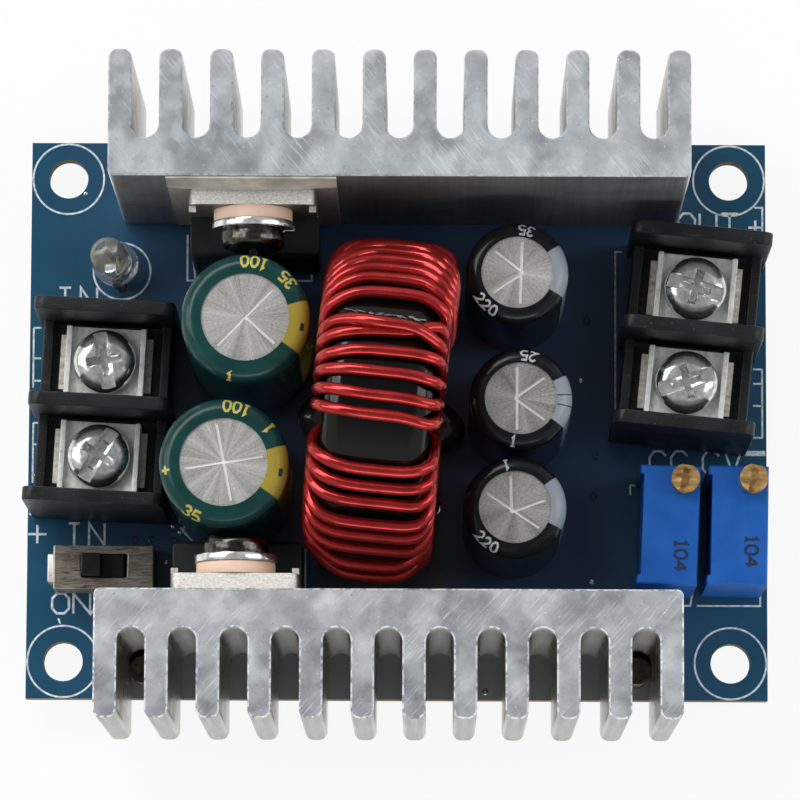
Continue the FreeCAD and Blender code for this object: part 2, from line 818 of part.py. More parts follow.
def make_lamp():
    """The lamp's lens and its two leads, leaning as one about the bend of the leads."""
    base = board_top + lamp_lift
    flange = rod(lamp_x, lamp_y, base, lamp_flange_radius, lamp_flange_height)
    barrel = rod(lamp_x, lamp_y, base, lamp_radius, lamp_height - lamp_radius)
    dome = Part.makeSphere(lamp_radius, FreeCAD.Vector(lamp_x, lamp_y, base + lamp_height - lamp_radius))
    lens = joined([flange, barrel, dome])
    bend = board_top + lamp_lead_bend_rise
    axis = FreeCAD.Rotation(UP, lamp_lean_direction).multVec(FreeCAD.Vector(0, 1, 0))
    pivot = FreeCAD.Vector(lamp_x, lamp_y, bend)
    lens.rotate(pivot, axis, lamp_lean)
    leads = []
    wide = lamp_lead_width
    foot_z = base + lamp_flange_height / 2
    foot_length = (lamp_lead_pitch - lamp_post_pitch) / 2 + wide
    upper_z = bend - lamp_lead_bend_rise / 2
    for side in (-1, 1):
        lead_y = lamp_y + side * lamp_lead_pitch / 2
        post_y = lamp_y + side * lamp_post_pitch / 2
        lower = block(lamp_x, lead_y, -lead_reach, wide, wide, lead_reach + bend)
        upper = block(lamp_x, lead_y, upper_z, wide, wide, foot_z - upper_z)
        foot = block(lamp_x, (lead_y + post_y) / 2, foot_z - wide / 2, wide, foot_length, wide)
        post = block(lamp_x, post_y, foot_z, wide, wide, lamp_lead_embed)
        leaning = joined([upper, foot, post])
        leaning.rotate(pivot, axis, lamp_lean)
        reach = half_diagonal(wide, wide)
        leads.append(add_lead(joined([lower, leaning]), lamp_x, lead_y, reach))
    return without(lens, leads), leads


def make_switch():
    """The slide switch: frame, base, pins, and the slider with its contact at the left stop."""
    top = board_top + switch_height
    frame = block(switch_x, switch_y, board_top, switch_length, switch_width, switch_height)
    inner_length = switch_length - 2 * switch_sheet
    inner_width = switch_width - 2 * switch_sheet
    hollow_height = switch_height - switch_sheet + cut_reach
    hollow = block(switch_x, switch_y, board_top - cut_reach, inner_length, inner_width, hollow_height)
    window_x = switch_x + switch_window_shift
    window_y = switch_y + switch_window_rise
    window_length = knob_length + switch_travel + 2 * switch_stop_gap
    window_width = knob_width + 2 * knob_edge_gap
    window_bottom = top - switch_sheet - cut_reach
    window = block(window_x, window_y, window_bottom, window_length, window_width, switch_sheet + 2 * cut_reach)
    lug = block(switch_x - (switch_length + switch_lug_reach) / 2, switch_y, board_top, switch_lug_reach,
                switch_lug_width, switch_height - switch_lug_drop)
    frame = without(joined([frame, lug]), [hollow, window])
    fit = 2 * carriage_gap
    pins = []
    for step in (-1, 0, 1):
        pin_x = window_x + step * switch_travel
        pin = block(pin_x, window_y, -lead_reach, switch_pin_width, switch_pin_thickness,
                    lead_reach + board_top + switch_base_thickness + switch_pin_head)
        pins.append(add_lead(pin, pin_x, window_y, half_diagonal(switch_pin_width, switch_pin_thickness)))
    base_length = inner_length - fit
    base_width = inner_width - fit
    base = block(switch_x, switch_y, board_top, base_length, base_width, switch_base_thickness)
    base = without(base, pins)
    knob_x = window_x - switch_travel / 2
    carriage_top = top - switch_sheet - carriage_gap
    carriage_bottom = carriage_top - carriage_thickness
    carriage = block(knob_x, switch_y, carriage_bottom, carriage_length, base_width, carriage_thickness)
    knob = block(knob_x, window_y, carriage_top - carriage_thickness / 2, knob_length, knob_width,
                 carriage_thickness / 2 + carriage_gap + switch_sheet + knob_rise)
    slider = joined([carriage, knob])
    pin_top = board_top + switch_base_thickness + switch_pin_head
    strip = block(knob_x, window_y, carriage_bottom - switch_contact_thickness, switch_travel + switch_pin_width,
                  switch_contact_width, switch_contact_thickness)
    legs = []
    for side in (-1, 1):
        leg_bottom = pin_top + switch_stop_gap
        legs.append(block(knob_x + side * switch_travel / 2, window_y, leg_bottom, switch_pin_width,
                          switch_contact_width, carriage_bottom - switch_contact_thickness - leg_bottom))
    contact = joined([strip] + legs)
    return frame, base, slider, contact, pins


def make_trimmer(x, y, angle):
    """A sealed trimmer body, its brass screw and its three pins."""
    body = block(0, 0, board_top, trimmer_width, trimmer_length, trimmer_height)
    top = board_top + trimmer_height
    body = body.makeChamfer(trimmer_edge_bevel, edges_where(body, lambda p: p.z > top - edge_margin))
    recess_length = trimmer_length - 2 * trimmer_recess_end
    recess_height = trimmer_height + 2 * cut_reach
    recess = block(-trimmer_width / 2, 0, board_top - cut_reach, 2 * trimmer_recess_depth, recess_length,
                   recess_height)
    well_depth = trimmer_neck_length + trimmer_well_floor_gap
    well = rod(trimmer_screw_offset_x, trimmer_screw_offset_y, top - well_depth,
               trimmer_neck_radius + trimmer_neck_gap, well_depth + cut_reach)
    body = without(body, [recess, well])
    head_base = top + trimmer_neck_gap
    head = rod(0, 0, head_base, trimmer_screw_radius, trimmer_screw_rise)
    neck = rod(0, 0, head_base - trimmer_neck_length, trimmer_neck_radius, trimmer_neck_length)
    slot_length = 2 * (trimmer_screw_radius + cut_reach)
    slot_floor = head_base + trimmer_screw_rise - trimmer_slot_depth
    slot = block(0, 0, slot_floor, slot_length, trimmer_slot_width, trimmer_slot_depth + cut_reach)
    screw = joined([head, neck]).cut(turned(slot, trimmer_slot_turn))
    screw = moved(screw, trimmer_screw_offset_x, trimmer_screw_offset_y)
    pins = []
    for step in (-1, 0, 1):
        spot = FreeCAD.Rotation(UP, angle).multVec(FreeCAD.Vector(0, step * trimmer_pin_pitch, 0))
        pin = rod(x + spot.x, y + spot.y, -lead_reach, trimmer_pin_radius, lead_reach + board_top)
        pins.append(add_lead(pin, x + spot.x, y + spot.y, trimmer_pin_radius))
    return moved(turned(body, angle), x, y), moved(turned(screw, angle), x, y), pins


def make_chip(size, place, leads_a_side):
    """A chip under the board with a row of leads along each long side."""
    length, width, height = size
    x, y = place
    body = block(x, y, -chip_standoff - height, length, width, height)
    parts = [body]
    for side in (-1, 1):
        for index in range(leads_a_side):
            lead_x = x + (index - (leads_a_side - 1) / 2) * chip_lead_pitch
            foot_y = y + side * (width + chip_lead_reach) / 2
            foot_size = (chip_lead_width, chip_lead_reach, chip_lead_thickness)
            parts.append(block(lead_x, foot_y, -chip_lead_thickness, *foot_size))
            riser_y = y + side * (width + chip_lead_thickness) / 2
            riser_height = chip_standoff + height / 2
            riser_size = (chip_lead_width, chip_lead_thickness, riser_height)
            parts.append(block(lead_x, riser_y, -riser_height, *riser_size))
    return joined(parts)


def make_blocks_below(size, places):
    """Plain chips of one size under the board."""
    length, width, height = size
    return Part.makeCompound([block(x, y, -height, length, width, height) for x, y in places])


def near_amplifier(steps):
    """Places under the board, each a step in x and y from the amplifier chip's middle."""
    return tuple((amplifier_chip_x + step_x, amplifier_chip_y + step_y) for step_x, step_y in steps)


def place_upper(shape, x):
    """Sets a piece against the upper sink's face."""
    return moved(shape, x, sink_face_y)


def place_lower(shape, x):
    """Sets a piece against the lower sink's face, turned to face it."""
    return moved(turned(shape, 180), x, -sink_face_y)


def build_power_stage(nodes):
    """Both heat sinks with their pins, pads, packages and fastenings."""
    sides = (("upper", place_upper, upper_sink_x, upper_package_x, "transistor"),
             ("lower", place_lower, lower_sink_x, lower_package_x, "rectifier"))
    pins = []
    bushes = []
    washers = []
    screws = []
    for side, place, sink_x, package_x, device in sides:
        offset = package_x - sink_x if side == "upper" else sink_x - package_x
        nodes["heatsink_" + side] = place(make_sink(offset), sink_x)
        for pin in make_sink_pins():
            placed = place(pin, sink_x)
            centre = placed.BoundBox.Center
            pins.append(add_lead(placed, centre.x, centre.y, sink_pin_shank_radius))
        nodes["insulating_pad_" + side] = place(make_pad(), package_x)
        body, tab, side_leads = [on_pad(piece) for piece in make_package()]
        nodes[device + "_body"] = place(body, package_x)
        nodes[device + "_tab"] = place(tab, package_x)
        placed_leads = [place(lead, package_x) for lead in side_leads]
        nodes[device + "_leads"] = Part.makeCompound(placed_leads)
        reach = half_diagonal(lead_width, lead_thickness)
        for lead in placed_leads:
            centre = lead.BoundBox.Center
            add_lead(lead, centre.x, centre.y, reach)
        add_lead(nodes[device + "_tab"], package_x, placed_leads[0].BoundBox.Center.y, reach)
        bush, washer, screw = make_fastening()
        bushes.append(place(bush, package_x))
        washers.append(place(washer, package_x))
        screws.append(place(screw, package_x))
    nodes["heatsink_pins"] = Part.makeCompound(pins)
    nodes["insulating_bushes"] = Part.makeCompound(bushes)
    nodes["spring_washers"] = Part.makeCompound(washers)
    nodes["package_screws"] = Part.makeCompound(screws)


def on_pad(piece):
    """Moves a package's piece, or each of a list, forward by the pad's thickness."""
    if isinstance(piece, list):
        return [moved(item, 0, -pad_thickness) for item in piece]
    return moved(piece, 0, -pad_thickness)


def build_terminals(nodes):
    """The input and the output terminal."""
    input_place = (input_terminal_x, input_terminal_y, input_terminal_turn)
    output_place = (output_terminal_x, output_terminal_y, output_terminal_turn)
    rows = (("input", input_place, 1, input_slot_angles), ("output", output_place, -1, output_slot_angles))
    for name, place, pin_side, slot_angles in rows:
        housing, contacts, clamps, screws = make_terminal(*place, pin_side, slot_angles)
        nodes[name + "_terminal_housing"] = housing
        nodes[name + "_contact_plates"] = Part.makeCompound(contacts)
        for level, clamp, screw in zip(("upper", "lower"), clamps, screws):
            nodes[name + "_clamp_" + level] = clamp
            nodes[name + "_screw_" + level] = screw


def build_capacitors(nodes):
    """The five capacitors."""
    input_sizes = (input_can_radius, input_can_height, input_can_opening, input_can_lead_pitch)
    output_sizes = (output_can_radius, output_can_height, output_can_opening, output_can_lead_pitch)
    middle_x = output_can_x + output_can_middle_shift
    lower_x = output_can_x + output_can_lower_shift
    upper_vent = cross_vent(input_can_opening, *upper_can_vent)
    lower_vent = cross_vent(input_can_opening, *lower_can_vent)
    forks = [fork_vent(output_can_opening, angle) for angle in output_can_vents]
    rows = (("input_capacitor_upper", upper_can_x, upper_can_y, input_sizes, upper_vent),
            ("input_capacitor_lower", lower_can_x, lower_can_y, input_sizes, lower_vent),
            ("output_capacitor_upper", output_can_x, output_can_upper_y, output_sizes, forks[0]),
            ("output_capacitor_middle", middle_x, output_can_middle_y, output_sizes, forks[1]),
            ("output_capacitor_lower", lower_x, output_can_lower_y, output_sizes, forks[2]))
    bungs = []
    leads = []
    for name, x, y, sizes, vent_lines in rows:
        can, sleeve, bung, own_leads = make_capacitor(x, y, *sizes, vent_lines)
        nodes[name + "_can"] = can
        nodes[name + "_sleeve"] = sleeve
        bungs.append(bung)
        leads += own_leads
    nodes["capacitor_bungs"] = Part.makeCompound(bungs)
    nodes["capacitor_leads"] = Part.makeCompound(leads)


def build_small_parts(nodes):
    """The inductor, lamp, switch, trimmers and the chips under the board."""
    nodes["inductor_core"] = make_core()
    nodes["inductor_winding"] = make_winding()
    nodes["inductor_adhesive"] = make_adhesive(nodes["inductor_core"])
    lens, lamp_leads = make_lamp()
    nodes["lamp_lens"] = lens
    nodes["lamp_leads"] = Part.makeCompound(lamp_leads)
    frame, base, slider, contact, switch_pins = make_switch()
    nodes["switch_frame"] = frame
    nodes["switch_base"] = base
    nodes["switch_slider"] = slider
    nodes["switch_contact"] = contact
    nodes["switch_pins"] = Part.makeCompound(switch_pins)
    trimmer_pins = []
    rows = (("current_trimmer", trimmer_left_x, trimmer_turn_left),
            ("voltage_trimmer", trimmer_right_x, trimmer_turn_right))
    for name, x, angle in rows:
        body, screw, pins = make_trimmer(x, trimmer_y, angle)
        nodes[name + "_body"] = body
        nodes[name + "_screw"] = screw
        trimmer_pins += pins
    nodes["trimmer_pins"] = Part.makeCompound(trimmer_pins)
    build_chips(nodes)


def build_chips(nodes):
    """The chips under the board."""
    amplifier_place = (amplifier_chip_x, amplifier_chip_y)
    capacitor_places = small_capacitor_places + near_amplifier(amplifier_capacitor_steps)
    resistor_places = small_resistor_places + near_amplifier(amplifier_resistor_steps)
    nodes["control_chip"] = make_chip(control_chip_size, control_chip_place, control_chip_lead_count)
    nodes["amplifier_chip"] = make_chip(amplifier_chip_size, amplifier_place, amplifier_chip_lead_count)
    nodes["shunt_resistors"] = make_blocks_below(shunt_size, shunt_places)
    nodes["chip_capacitors"] = make_blocks_below(small_capacitor_size, capacitor_places)
    nodes["chip_resistors"] = make_blocks_below(small_resistor_size, resistor_places)


def build():
    """Every node of the module, by name."""
    nodes = {}
    build_power_stage(nodes)
    build_terminals(nodes)
    build_capacitors(nodes)
    build_small_parts(nodes)
    nodes["circuit_board"] = make_board()
    nodes["solder_joints"] = make_solder()
    return nodes


os.makedirs("parts", exist_ok=True)
for node_name, node_shape in build().items():
    node_shape.exportStep("parts/" + node_name + ".step")
    volume = round(node_shape.Volume, 2)
    print(node_name, len(node_shape.Solids), "solids", volume, "mm3", node_shape.isValid())
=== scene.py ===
# %% [markdown]
# # A buck converter module
#
# This lesson dresses a measured model of a step-down converter board.
# The frame that is loaded first holds every solid piece at its true place, in metres.
# We keep those pieces, give each a worked finish, and model by hand what the solids leave out:
# the board's print, the enamelled winding, the screw heads, the lamp's cup and the rounded edges.

# %% Load the frame
import bpy
import bmesh
import math
import random
from mathutils import Matrix, Vector


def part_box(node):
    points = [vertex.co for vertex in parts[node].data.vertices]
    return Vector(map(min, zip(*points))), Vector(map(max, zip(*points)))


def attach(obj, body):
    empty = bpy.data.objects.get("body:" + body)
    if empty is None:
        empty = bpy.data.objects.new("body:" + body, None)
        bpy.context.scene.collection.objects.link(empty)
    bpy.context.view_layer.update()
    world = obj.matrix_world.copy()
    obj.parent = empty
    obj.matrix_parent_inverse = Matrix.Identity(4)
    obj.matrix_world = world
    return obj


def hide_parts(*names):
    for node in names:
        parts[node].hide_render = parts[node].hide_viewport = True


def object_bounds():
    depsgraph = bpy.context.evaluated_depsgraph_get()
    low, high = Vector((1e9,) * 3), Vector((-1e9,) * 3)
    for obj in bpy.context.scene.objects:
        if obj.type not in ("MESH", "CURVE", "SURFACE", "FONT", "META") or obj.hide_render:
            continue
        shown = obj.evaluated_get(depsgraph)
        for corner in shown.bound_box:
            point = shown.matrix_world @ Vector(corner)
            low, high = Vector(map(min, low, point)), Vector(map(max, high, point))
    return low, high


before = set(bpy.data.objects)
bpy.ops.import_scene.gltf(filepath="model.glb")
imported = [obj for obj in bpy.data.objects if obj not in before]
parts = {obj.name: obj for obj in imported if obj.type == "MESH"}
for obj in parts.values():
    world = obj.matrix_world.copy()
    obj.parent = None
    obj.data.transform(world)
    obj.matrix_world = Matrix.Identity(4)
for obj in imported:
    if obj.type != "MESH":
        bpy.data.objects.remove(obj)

cad_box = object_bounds()
mm = 0.001
print(len(parts), "solid pieces, box", [[round(v / mm, 1) for v in corner] for corner in cad_box])

# %% [markdown]
# ## The photograph's view
#
# The camera stands almost straight above the board, tipped a little towards its lower edge,
# so the inner face of the far heat sink shows and the near one hides its own.
# A long lens keeps the board's sides nearly parallel.


# %% Camera
def add_object(name, data):
    """A new object in the scene for some data."""
    thing = bpy.data.objects.new(name, data)
    bpy.context.scene.collection.objects.link(thing)
    return thing


eye = bpy.data.cameras.new("camera")
eye.lens = 249.4
eye.sensor_width = 36.0
eye.clip_start, eye.clip_end = 0.01, 10.0
camera = add_object("camera", eye)
camera.location = (0.0027, -0.0592, 0.4487)
camera.rotation_euler = [math.radians(angle) for angle in (7.75, 0.29, 0.23)]
bpy.context.scene.camera = camera
bpy.context.scene.view_settings.view_transform = "Standard"
print("camera lens", eye.lens)

# %% [markdown]
# ## Ways of working
#
# Operators act on whatever is selected, so each step starts by clearing the selection.
# Faces are chosen in code by where they are or which way they look.
# A finished piece has its place in its mesh, and its object lies at the origin unturned.


# %% Selecting
def clear_selection():
    """Leaves edit mode and selects nothing."""
    if bpy.context.object and bpy.context.object.mode != "OBJECT":
        bpy.ops.object.mode_set(mode="OBJECT")
    bpy.ops.object.select_all(action="DESELECT")


def take(piece):
    """Makes one piece the only one selected, and the active one."""
    clear_selection()
    piece.select_set(True)
    bpy.context.view_layer.objects.active = piece
    return piece


def edit_all(piece):
    """Opens one piece in edit mode with all of it selected."""
    take(piece)
    bpy.ops.object.mode_set(mode="EDIT")
    bpy.ops.mesh.select_all(action="SELECT")


def shrink_faces(piece, test, factors):
    """Draws in the faces whose normal passes the test."""
    bpy.ops.object.mode_set(mode="EDIT")
    bpy.ops.mesh.select_mode(type="FACE")
    bpy.ops.mesh.select_all(action="DESELECT")
    shape = bmesh.from_edit_mesh(piece.data)
    for face in shape.faces:
        face.select_set(test(face.normal))
    bmesh.update_edit_mesh(piece.data)
    bpy.ops.transform.resize(value=factors)
    bpy.ops.object.mode_set(mode="OBJECT")


print("selection helpers ready")


# %% Finishing a piece
def add_modifier(piece, kind, **settings):
    """Adds a modifier with its settings and applies it at once."""
    take(piece)
    modifier = piece.modifiers.new(kind.lower(), kind)
    for name, value in settings.items():
        setattr(modifier, name, value)
    bpy.ops.object.modifier_apply(modifier=modifier.name)


def settle(piece, finish, body="module", smooth=None):
    """Puts the piece's place into its mesh, then gives it its finish and its body."""
    take(piece)
    if piece.type != "MESH":
        bpy.ops.object.convert(target="MESH")
        piece = bpy.context.object
    bpy.ops.object.transform_apply(location=True, rotation=True, scale=True)
    if smooth is not None:
        bpy.ops.object.shade_smooth_by_angle(angle=math.radians(smooth))
    piece.data.materials.clear()
    piece.data.materials.append(finish.material)
    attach(piece, body)
    return piece


def join_pieces(pieces, name):
    """One piece from several."""
    take(pieces[0])
    for piece in pieces:
        piece.select_set(True)
    bpy.ops.object.join()
    whole = bpy.context.object
    whole.name = whole.data.name = name
    return whole


print("finishing helpers ready")

# %% [markdown]
# ## Building finishes
#
# Each finish is a node material on Object coordinates, so it stays put when the camera moves.
# The helper below adds the few kinds of node that the finishes share, with colours written as
# the everyday 0 to 255 values and turned into the linear values that the shader wants.


# %% The finish helper
def paint(red, green, blue):
    """A colour from 0 to 255 values, as the shader's linear values."""
    linear = []
    for value in (red, green, blue):
        part = value / 255
        linear.append(part / 12.92 if part <= 0.04045 else ((part + 0.055) / 1.055) ** 2.4)
    return (*linear, 1.0)


class Finish:
    """One node material with short ways to add nodes."""

    def __init__(self, name, colour, roughness, metallic=0.0, **sockets):
        self.material = bpy.data.materials.new(name)
        self.material.use_nodes = True
        self.nodes = self.material.node_tree.nodes
        self.links = self.material.node_tree.links
        self.shader = self.nodes["Principled BSDF"]
        self.shader.inputs["Base Color"].default_value = colour
        self.shader.inputs["Roughness"].default_value = roughness
        self.shader.inputs["Metallic"].default_value = metallic
        for socket, value in sockets.items():
            self.shader.inputs[socket.replace("_", " ")].default_value = value
        self.object_coords = self.nodes.new("ShaderNodeTexCoord").outputs["Object"]
        self.flat_normal = self.nodes.new("ShaderNodeNewGeometry").outputs["True Normal"]

    def feed(self, socket, source):
        """Links a source to a socket, or writes it there as a value."""
        if hasattr(source, "is_output"):
            self.links.new(source, socket)
        else:
            socket.default_value = source

    def add(self, kind, inputs, **settings):
        """A node with its settings, and its inputs fed from sources or values."""
        node = self.nodes.new("ShaderNode" + kind)
        for name, value in settings.items():
            setattr(node, name, value)
        for key, source in inputs.items():
            self.feed(node.inputs[key], source)
        return node

    def coords(self, centre=(0, 0, 0), scale=(1, 1, 1), turn=(0, 0, 0)):
        """Object coordinates about a centre, turned and stretched, in millimetres."""
        shift = self.add("VectorMath", {0: self.object_coords, 1: centre}, operation="SUBTRACT")
        rotate = self.add("VectorRotate", {"Vector": shift.outputs[0], "Center": (0, 0, 0)},
                          rotation_type="EULER_XYZ")
        rotate.inputs["Rotation"].default_value = [math.radians(angle) for angle in turn]
        stretch = [value / mm for value in scale]
        turned = rotate.outputs["Vector"]
        return self.add("VectorMath", {0: turned, 1: stretch}, operation="MULTIPLY").outputs[0]

    def noise(self, coords, scale, detail=3.0, roughness=0.55, distortion=0.0):
        """Cloudy noise from 0 to 1 with about scale blobs a millimetre."""
        return self.add("TexNoise", {"Vector": coords, "Scale": scale, "Detail": detail,
                                     "Roughness": roughness, "Distortion": distortion}).outputs["Fac"]

    def soft_cells(self, coords, scale):
        """Voronoi cells whose colours run into each other."""
        return self.add("TexVoronoi", {"Vector": coords, "Scale": scale, "Smoothness": 0.55},
                        feature="SMOOTH_F1").outputs["Color"]

    def part(self, vector, axis):
        """The X, Y or Z of a vector."""
        return self.add("SeparateXYZ", {0: vector}).outputs[axis]

    def normal_part(self, axis):
        """The X, Y or Z of the surface's own direction."""
        return self.part(self.nodes.new("ShaderNodeNewGeometry").outputs["Normal"], axis)

    def math(self, operation, first, second=0.0):
        """One sum of two values."""
        return self.add("Math", {0: first, 1: second}, operation=operation).outputs[0]

    def times(self, first, *others):
        """The product of values."""
        for other in others:
            first = self.math("MULTIPLY", first, other)
        return first

    def plus(self, first, *others):
        """The sum of values."""
        for other in others:
            first = self.math("ADD", first, other)
        return first

    def away(self, vector, axis, middle=0.0):
        """How far a vector lies from a middle along one axis."""
        return self.math("ABSOLUTE", self.math("SUBTRACT", self.part(vector, axis), middle))

    def fade(self, value, low, high, start=0.0, end=1.0):
        """A value carried from the range low to high over to start to end, and held at both ends."""
        return self.add("MapRange", {"Value": value, "From Min": low, "From Max": high,
                                     "To Min": start, "To Max": end}).outputs["Result"]

    def mix(self, factor, first, second):
        """A mix of two colours."""
        return self.add("MixRGB", {"Fac": factor, "Color1": first, "Color2": second}).outputs["Color"]

    def colour(self, source):
        self.feed(self.shader.inputs["Base Color"], source)

    def roughness(self, source):
        self.feed(self.shader.inputs["Roughness"], source)

    def metallic(self, source):
        self.feed(self.shader.inputs["Metallic"], source)

    def bump(self, height, depth):
        """Raises and sinks the surface by a height from 0 to 1, depth in millimetres."""
        node = self.add("Bump", {"Strength": 1.0, "Distance": depth * mm, "Height": height})
        earlier = self.shader.inputs["Normal"].links
        if earlier:
            self.links.new(earlier[0].from_socket, node.inputs["Normal"])
        self.links.new(node.outputs["Normal"], self.shader.inputs["Normal"])


def dress(names, finish):
    """Gives solid pieces their finish."""
    for name in names:
        for slot in parts[name].material_slots:
            slot.material = finish.material


print("a white written as 255 is", paint(255, 255, 255)[0])

# %% [markdown]
# ## Floor and light
#
# The floor is a plain pale sheet under the lead ends. To the lens it is mostly its own glow and partly
# lit surface, so it reads as white and still takes the module's soft shadow.
# Two soft boxes at the sides draw the long bright lines on the wire, the sleeves and the screws,
# and a wide one behind fills the flat tops. The room is darker straight overhead, where a real camera
# hangs, so that black plastic and the glossy board stay deep. Together they light a level surface at
# about its own colour.

# %% Floor
floor_height = cad_box[0][2]
clear_selection()
bpy.ops.mesh.primitive_plane_add(size=3.0, location=(0, 0, floor_height))
floor = bpy.context.object
floor.name = "floor"
floor_finish = Finish("floor_white", (0.86, 0.86, 0.86, 1.0), 0.9)
grain = floor_finish.noise(floor_finish.coords(), 0.02)
floor_finish.colour(floor_finish.mix(grain, (0.85, 0.85, 0.85, 1.0), (0.88, 0.88, 0.88, 1.0)))
glow = floor_finish.add("Emission", {"Color": (1, 1, 1, 1), "Strength": 1.0})
rays = floor_finish.nodes.new("ShaderNodeLightPath").outputs
seen = floor_finish.math("MAXIMUM", rays["Is Camera Ray"], rays["Is Glossy Ray"])
seen = floor_finish.math("MAXIMUM", seen, rays["Is Transmission Ray"])
blend = floor_finish.add("MixShader", {"Fac": floor_finish.times(seen, 0.90),
                                       1: floor_finish.shader.outputs[0], 2: glow.outputs[0]})
floor_finish.links.new(blend.outputs[0], floor_finish.nodes["Material Output"].inputs["Surface"])
floor.data.materials.append(floor_finish.material)
print("floor at", round(floor_height / mm, 2), "mm")


# %% Light
def add_soft_box(name, place, size, power):
    """A square lamp that looks at the middle of the module."""
    lamp = bpy.data.lights.new(name, "AREA")
    lamp.shape = "RECTANGLE"
    lamp.size, lamp.size_y = size
    lamp.energy = power
    holder = add_object(name, lamp)
    holder.location = place
    holder.rotation_euler = (Vector((0, 0, 0.01)) - Vector(place)).to_track_quat("-Z", "Y").to_euler()


add_soft_box("left_soft_box", (-0.36, 0.06, 0.30), (0.16, 0.40), 0.55)
add_soft_box("right_soft_box", (0.36, 0.03, 0.30), (0.16, 0.40), 0.50)
add_soft_box("back_soft_box", (-0.26, 0.36, 0.52), (0.50, 0.28), 2.0)
add_soft_box("front_fill", (0.05, -0.50, 0.26), (0.50, 0.18), 0.6)
sky = bpy.data.worlds.new("studio")
sky.use_nodes = True
room = sky.node_tree.nodes["Background"]
room.inputs["Color"].default_value = (0.94, 0.97, 1.0, 1.0)
direction = sky.node_tree.nodes.new("ShaderNodeTexCoord")
height = sky.node_tree.nodes.new("ShaderNodeSeparateXYZ")
ceiling = sky.node_tree.nodes.new("ShaderNodeMapRange")
for socket, value in (("From Min", 0.75), ("From Max", 0.97), ("To Min", 0.55), ("To Max", 0.18)):
    ceiling.inputs[socket].default_value = value
sky.node_tree.links.new(direction.outputs["Generated"], height.inputs[0])
sky.node_tree.links.new(height.outputs["Z"], ceiling.inputs["Value"])
sky.node_tree.links.new(ceiling.outputs["Result"], room.inputs["Strength"])
bpy.context.scene.world = sky
print("four soft boxes and a pale room")

# %% [markdown]
# ## The board's finish
#
# The solder mask is a deep glossy blue, and copper under it shows as faint patches. Its colour is painted
# light and shade: a greyer blue in the middle for the shade between the parts, and a lighter teal at the
# ends for the light on the open board. Under the inductor the top is grey, and under the near heat sink
# it is painted grey for the aluminium walls that the mask mirrors there.
# The cut sides and the hole walls are bare brown laminate, so the finish asks which way a face looks.

# %% Solder mask and laminate
board_top = 1.6
mask = Finish("solder_mask", paint(26, 62, 98), 0.22, Specular_IOR_Level=0.35)
place = mask.coords()
cloud = mask.noise(place, 0.12, detail=2.0)
# painted light and shade: a greyer blue in the middle for the shade between the parts, a lighter teal at the
# ends for the light on the open board
shaded_middle_blue = mask.mix(cloud, paint(45, 65, 95), paint(53, 79, 116))
lit_end_teal = mask.mix(cloud, paint(24, 68, 94), paint(34, 86, 112))
blue = mask.mix(mask.fade(mask.away(place, "X"), 12.0, 29.0), shaded_middle_blue, lit_end_teal)
patches = mask.fade(mask.noise(mask.coords(scale=(1, 1, 0)), 0.28, detail=0.0), 0.5, 0.52)
blue = mask.mix(mask.times(patches, 0.05), blue, paint(50, 96, 136))
top_only = mask.fade(mask.part(place, "Z"), board_top / 2, 1.0)


def grey_field(ground, grey, x, y, half_wide, half_deep, soft):
    """The ground with a grey rectangle on the board's top."""
    across = mask.fade(mask.away(place, "X", x), half_wide, half_wide + soft, 1.0, 0.0)
    along = mask.fade(mask.away(place, "Y", y), half_deep, half_deep + soft, 1.0, 0.0)
    return mask.mix(mask.times(across, along, top_only, 0.9), ground, grey)


blue = grey_field(blue, paint(66, 68, 70), -1.4, -0.5, 5.02, 13.3, 0.06)
sink_low, sink_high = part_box("heatsink_lower")
sink_middle = (sink_low.x + sink_high.x) / 2 / mm
# painted reflection: the board under the near heat sink's slots is painted grey for the aluminium walls
# mirrored in the mask
sink_reflection_grey = mask.mix(cloud, paint(138, 144, 142), paint(160, 164, 162))
blue = grey_field(blue, sink_reflection_grey, sink_middle, -28.2, 22.6, 10.0, 0.2)
fibres = mask.noise(mask.coords(scale=(1, 1, 12)), 1.2, detail=4.0)
laminate = mask.mix(fibres, paint(92, 78, 50), paint(168, 152, 108))
is_face = mask.fade(mask.math("ABSOLUTE", mask.normal_part("Z")), 0.4, 0.6)
mask.colour(mask.mix(is_face, laminate, blue))
mask.roughness(mask.fade(is_face, 0.0, 1.0, 0.8, 0.22))
mask.bump(mask.noise(place, 1.6, detail=2.0), 0.02)
dress(["circuit_board"], mask)
print("board finish uses", len(mask.nodes), "nodes")
